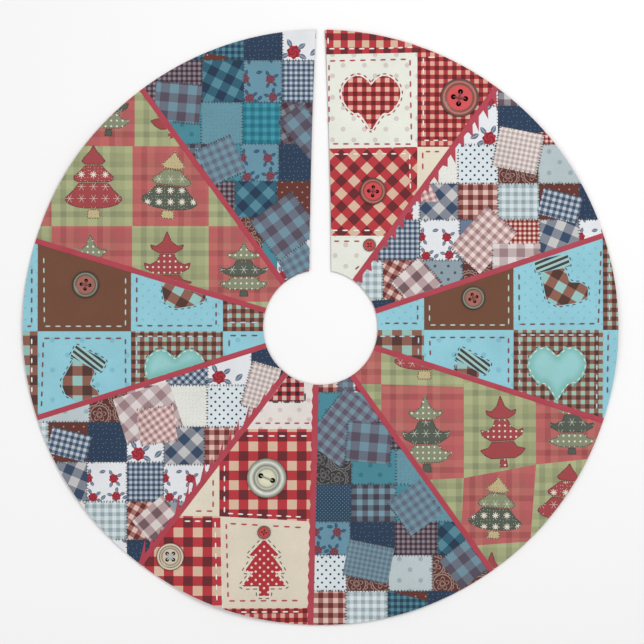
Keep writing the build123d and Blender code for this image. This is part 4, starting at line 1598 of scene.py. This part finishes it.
RED_RINGS = (
    (0.0, srgb(196, 44, 52)),
    (0.6, srgb(208, 56, 62)),
    (0.68, srgb(150, 52, 48)),
    (0.71, srgb(92, 66, 42)),
    (0.77, srgb(148, 78, 62)),
    (0.83, srgb(196, 108, 96)),
    (0.87, srgb(140, 70, 58)),
    (0.92, srgb(78, 42, 36)),
    (1.0, srgb(60, 36, 32)),
)
BROWN_RINGS = (
    (0.0, srgb(152, 86, 74)),
    (0.6, srgb(164, 92, 80)),
    (0.68, srgb(126, 96, 78)),
    (0.75, srgb(74, 64, 54)),
    (0.81, srgb(136, 138, 114)),
    (0.87, srgb(124, 126, 106)),
    (0.92, srgb(44, 42, 40)),
    (1.0, srgb(38, 34, 32)),
)
# Painted light and shade on the cream button: darker in its groove (0.5 to 0.68) and at its rounded rim,
# lighter on the raised ring between (0.8); the centre is its own cream colour.
CREAM_RINGS_AND_PAINTED_LIGHT = (
    (0.0, srgb(228, 226, 196)),
    (0.38, srgb(214, 212, 184)),
    (0.5, srgb(150, 150, 134)),
    (0.55, srgb(202, 202, 190)),
    (0.63, srgb(122, 124, 112)),
    (0.68, srgb(150, 152, 140)),
    (0.8, srgb(222, 224, 212)),
    (0.9, srgb(160, 164, 150)),
    (1.0, srgb(108, 110, 98)),
)
HORN_RINGS = (
    (0.0, srgb(196, 182, 166)),
    (0.52, srgb(206, 192, 168)),
    (0.62, srgb(128, 106, 86)),
    (0.7, srgb(214, 200, 174)),
    (0.78, srgb(112, 90, 74)),
    (0.86, srgb(220, 208, 186)),
    (0.92, srgb(206, 192, 168)),
    (0.96, srgb(92, 74, 62)),
    (1.0, srgb(82, 66, 56)),
)
BUTTON_RINGS = {
    "large_red_button": RED_RINGS,
    "middle_red_button": RED_RINGS,
    "small_red_button": RED_RINGS,
    "tree_top_button": RED_RINGS,
    "right_brown_button": BROWN_RINGS,
    "left_brown_button": BROWN_RINGS,
    "two_hole_cream_button": CREAM_RINGS_AND_PAINTED_LIGHT,
    "four_hole_cream_button": HORN_RINGS,
}
for node_name, rings in BUTTON_RINGS.items():
    slots = frame["nodes"][node_name].data.materials
    made = button_material(f"{node_name}_finish", node_name, rings)
    slots.clear()
    slots.append(made)


BUTTON_THREADS = {
    "large_red_button": "wine",
    "middle_red_button": "wine",
    "small_red_button": "wine",
    "tree_top_button": "wine",
    "right_brown_button": "rust",
    "left_brown_button": "rust",
    "two_hole_cream_button": "grey",
    "four_hole_cream_button": "lilac",
}
DISH = 0.6  # the height of a button's dished middle, as a share of its thickness
DISC_SIDES = 28
DISC_LEVELS = (0.15 * MM, 0.3 * MM)
DISC_REACH = 0.48  # the radius of the dark disc of painted shade below a button, as a share of its own
STRAND_HALF = 0.035  # half the width of its thread, as a share of its radius
STRAND_SIDES = 8


def make_button_thread_and_hole_shade(node):
    """A dark disc below a button, painted shade in its holes, and the thread through them."""
    centre, radius = BUTTONS[node]
    low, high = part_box(node)
    base = low.z
    dish = base + (high.z - base) * DISH
    loops = [loop for loop in top_loops(node, dish) if (loop[0] - loop[len(loop) // 2]).length < radius]
    spots = sorted((middle(loop) for loop in loops), key=lambda p: math.atan2(p.y - centre.y, p.x - centre.x))
    points, faces, slots = [], [], []
    # A dark disc below the holes is painted shade: it makes the holes look dark inside.
    sides = DISC_SIDES
    reach = radius * DISC_REACH
    for level in DISC_LEVELS:
        for i in range(sides):
            turn = math.tau * i / sides
            x, y = centre.x + reach * math.cos(turn), centre.y + reach * math.sin(turn)
            points.append((x, y, base + level))
    faces.append(tuple(range(sides))[::-1])
    faces.append(tuple(range(sides, 2 * sides)))
    faces.extend((i, (i + 1) % sides, sides + (i + 1) % sides, sides + i) for i in range(sides))
    slots.extend([0] * len(faces))
    half = len(spots) // 2
    for order, (a, b) in enumerate(zip(spots[:half], spots[half:])):
        strand(points, faces, a, b, base, dish, radius * STRAND_HALF, order)
    slots.extend([1] * (len(faces) - len(slots)))
    # The disc wears the black thread's material, as painted shade.
    materials = [thread_material("black"), thread_material(BUTTON_THREADS[node])]
    made = add_mesh(f"{node}_thread", points, faces, materials, slots)
    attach(made, BODY_OF[node])


def strand(points, faces, a, b, base, dish, half, order):
    """A thread that comes up through one hole and goes down through the other."""
    along = (b - a).normalized()
    side = Vector((-along.y, along.x))
    proud = half * (1.2 + 1.1 * order)
    rising = [(0.0, base), (0.0, dish - half), (0.06, dish + proud * 0.7), (0.2, dish + proud)]
    falling = [(1.0 - share, z) for share, z in reversed(rising)]
    path = [*rising, (0.5, dish + proud + half * order), *falling]
    sides = STRAND_SIDES
    start = len(points)
    for i, (share, z) in enumerate(path):
        before, after = path[max(0, i - 1)], path[min(len(path) - 1, i + 1)]
        run = Vector(((after[0] - before[0]) * (b - a).length, after[1] - before[1])).normalized()
        spot = a.lerp(b, share)
        for k in range(sides):
            turn = math.tau * k / sides
            flat = spot + side * half * math.cos(turn) - along * run.y * half * math.sin(turn)
            points.append((*flat, z + run.x * half * math.sin(turn)))
    for i in range(len(path) - 1):
        for k in range(sides):
            p, q = start + i * sides + k, start + i * sides + (k + 1) % sides
            faces.append((p, p + sides, q + sides, q))
    faces.append(tuple(start + k for k in range(sides)))
    faces.append(tuple(start + (len(path) - 1) * sides + k for k in range(sides))[::-1])


for node_name in BUTTONS:
    make_button_thread_and_hole_shade(node_name)

# ---------------------------------------------------------------- tabs


CORNER_RADIUS = 2.0 * MM
CORNER_TURNS = 4  # steps round each corner
LIP = 0.25  # the height of a tape's rounded edge, as a share of its thickness
PILE_PITCH = 2.4 * MM
PILE_HEIGHT = 0.25 * MM
PILE_ROOT = 0.05 * MM
PILE_HALF = 0.4 * MM
PILE_LEAN = 0.3 * MM


def rounded_box(low, high, radius):
    """The outline of a box's plan with rounded corners."""
    made = []
    for order, (i, j) in enumerate(((1, 1), (-1, 1), (-1, -1), (1, -1))):
        first = 90 * order
        corner = Vector((high.x if i > 0 else low.x, high.y if j > 0 else low.y))
        centre = corner - Vector((i, j)) * radius
        for step in range(CORNER_TURNS + 1):
            turn = math.radians(first + step * 90 / CORNER_TURNS)
            made.append(centre + Vector((math.cos(turn), math.sin(turn))) * radius)
    return made


def make_tape(name, node, fabric_name, pile=None):
    """Flat pieces the size of those in a CAD node, with hooks or loops of thread standing below them."""
    low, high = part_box(node)
    parts = []
    for loop in top_loops(node):
        corner = Vector((min(p.x for p in loop), min(p.y for p in loop), low.z))
        across = Vector((max(p.x for p in loop), max(p.y for p in loop), high.z))
        parts.append(flat_sheet(name, rounded_box(corner, across, CORNER_RADIUS), fabric_name, low.z, high.z))
        if pile:
            parts.append(make_pile(corner, across, pile))
    stand_for(joined(name, parts), node)


def flat_sheet(name, outline, fabric_name, bottom, top):
    """A flat sheet with rounded edges."""
    lip = LIP * (top - bottom)
    rings = ((bottom, lip), (bottom + lip, 0.0), (top - lip, 0.0), (top, lip))
    points = [(*p, z) for z, inset in rings for p in grown(outline, -inset)]
    count = len(outline)
    faces = [tuple(range(count))[::-1], tuple(range(3 * count, 4 * count))]
    for ring in range(3):
        for i in range(count):
            j = (i + 1) % count
            a, b = ring * count + i, ring * count + j
            faces.append((a, b, b + count, a + count))
    made = add_mesh(name, points, faces, [fabric(fabric_name)])
    layer = made.data.uv_layers.new(name="print")
    for corner in made.data.loops:
        layer.data[corner.index].uv = points[corner.vertex_index][:2]
    return made


def make_pile(low, high, thread):
    """Rows of small stiff hooks or loops below a patch."""
    points, faces = [], []
    step = PILE_PITCH
    for i in range(int((high.x - low.x) / step) - 1):
        for j in range(int((high.y - low.y) / step) - 1):
            x, y = low.x + (i + 1) * step, low.y + (j + 1) * step
            start = len(points)
            for dx, dy in ((-1, -1), (1, -1), (1, 1), (-1, 1)):
                points.append((x + dx * PILE_HALF, y + dy * PILE_HALF, low.z + PILE_ROOT))
            points.append((x + PILE_LEAN, y, low.z - PILE_HEIGHT))
            faces.extend((start + b, start + a, start + 4) for a, b in ((0, 1), (1, 2), (2, 3), (3, 0)))
            faces.append((start, start + 1, start + 2, start + 3))
    return add_mesh("pile", points, faces, [thread_material(thread)])


for tab in (1, 2, 3):
    make_tape(f"tab_{tab}_webbing", f"tab_{tab}_strap", "tape")
    make_tape(f"tab_{tab}_hook_tape", f"tab_{tab}_hooks", "hook_tape", "red")
make_tape("loop_tape", "loop_patches", "loop_tape", "wine")

# ---------------------------------------------------------------- stage, light and camera


FLOOR_HALF = 12.0
FLOOR_LEVEL = -0.2 * MM
# Each light: name, place, diameter and power.
LIGHTS = (("key", (1.3, 1.3, 2.6), 1.8, 44), ("fill", (-1.8, -0.8, 2.4), 2.4, 19))
SKY_LIGHT = 0.52
LENS = 100.0
SENSOR = 36.0
PICTURE_WIDTH = 1.2107  # what the camera sees at floor level
PICTURE_CENTRE = (0.0028, 0.010)


def make_stage():
    """A plain pale floor."""
    corners = ((-1, -1), (1, -1), (1, 1), (-1, 1))
    points = [(i * FLOOR_HALF, j * FLOOR_HALF, FLOOR_LEVEL) for i, j in corners]
    shader = Shader("pale_floor")
    shader.set("Base Color", (0.97, 0.97, 0.97, 1))
    shader.set("Roughness", 0.9)
    add_mesh("floor", points, [(0, 1, 2, 3)], [shader.material])


def make_light(name, spot, size, power):
    """A soft round light aimed at the middle of the skirt."""
    data = bpy.data.lights.new(name, "AREA")
    data.shape = "DISK"
    data.size = size
    data.energy = power
    lamp = bpy.data.objects.new(name, data)
    lamp.location = spot
    lamp.rotation_euler = Vector(spot).to_track_quat("Z", "Y").to_euler()
    lamp.visible_camera = False
    bpy.context.scene.collection.objects.link(lamp)


def make_camera():
    """Straight above, with the slit at the top of the picture."""
    data = bpy.data.cameras.new("camera")
    data.lens = LENS
    data.sensor_width = SENSOR
    camera = bpy.data.objects.new("camera", data)
    camera.location = (*PICTURE_CENTRE, PICTURE_WIDTH * LENS / SENSOR)
    bpy.context.scene.collection.objects.link(camera)
    bpy.context.scene.camera = camera


make_stage()
for light in LIGHTS:
    make_light(*light)
world = bpy.data.worlds.new("studio")
world.use_nodes = True
world.node_tree.nodes["Background"].inputs[0].default_value = (1, 1, 1, 1)
world.node_tree.nodes["Background"].inputs[1].default_value = SKY_LIGHT
bpy.context.scene.world = world
bpy.context.scene.view_settings.view_transform = "Standard"
make_camera()
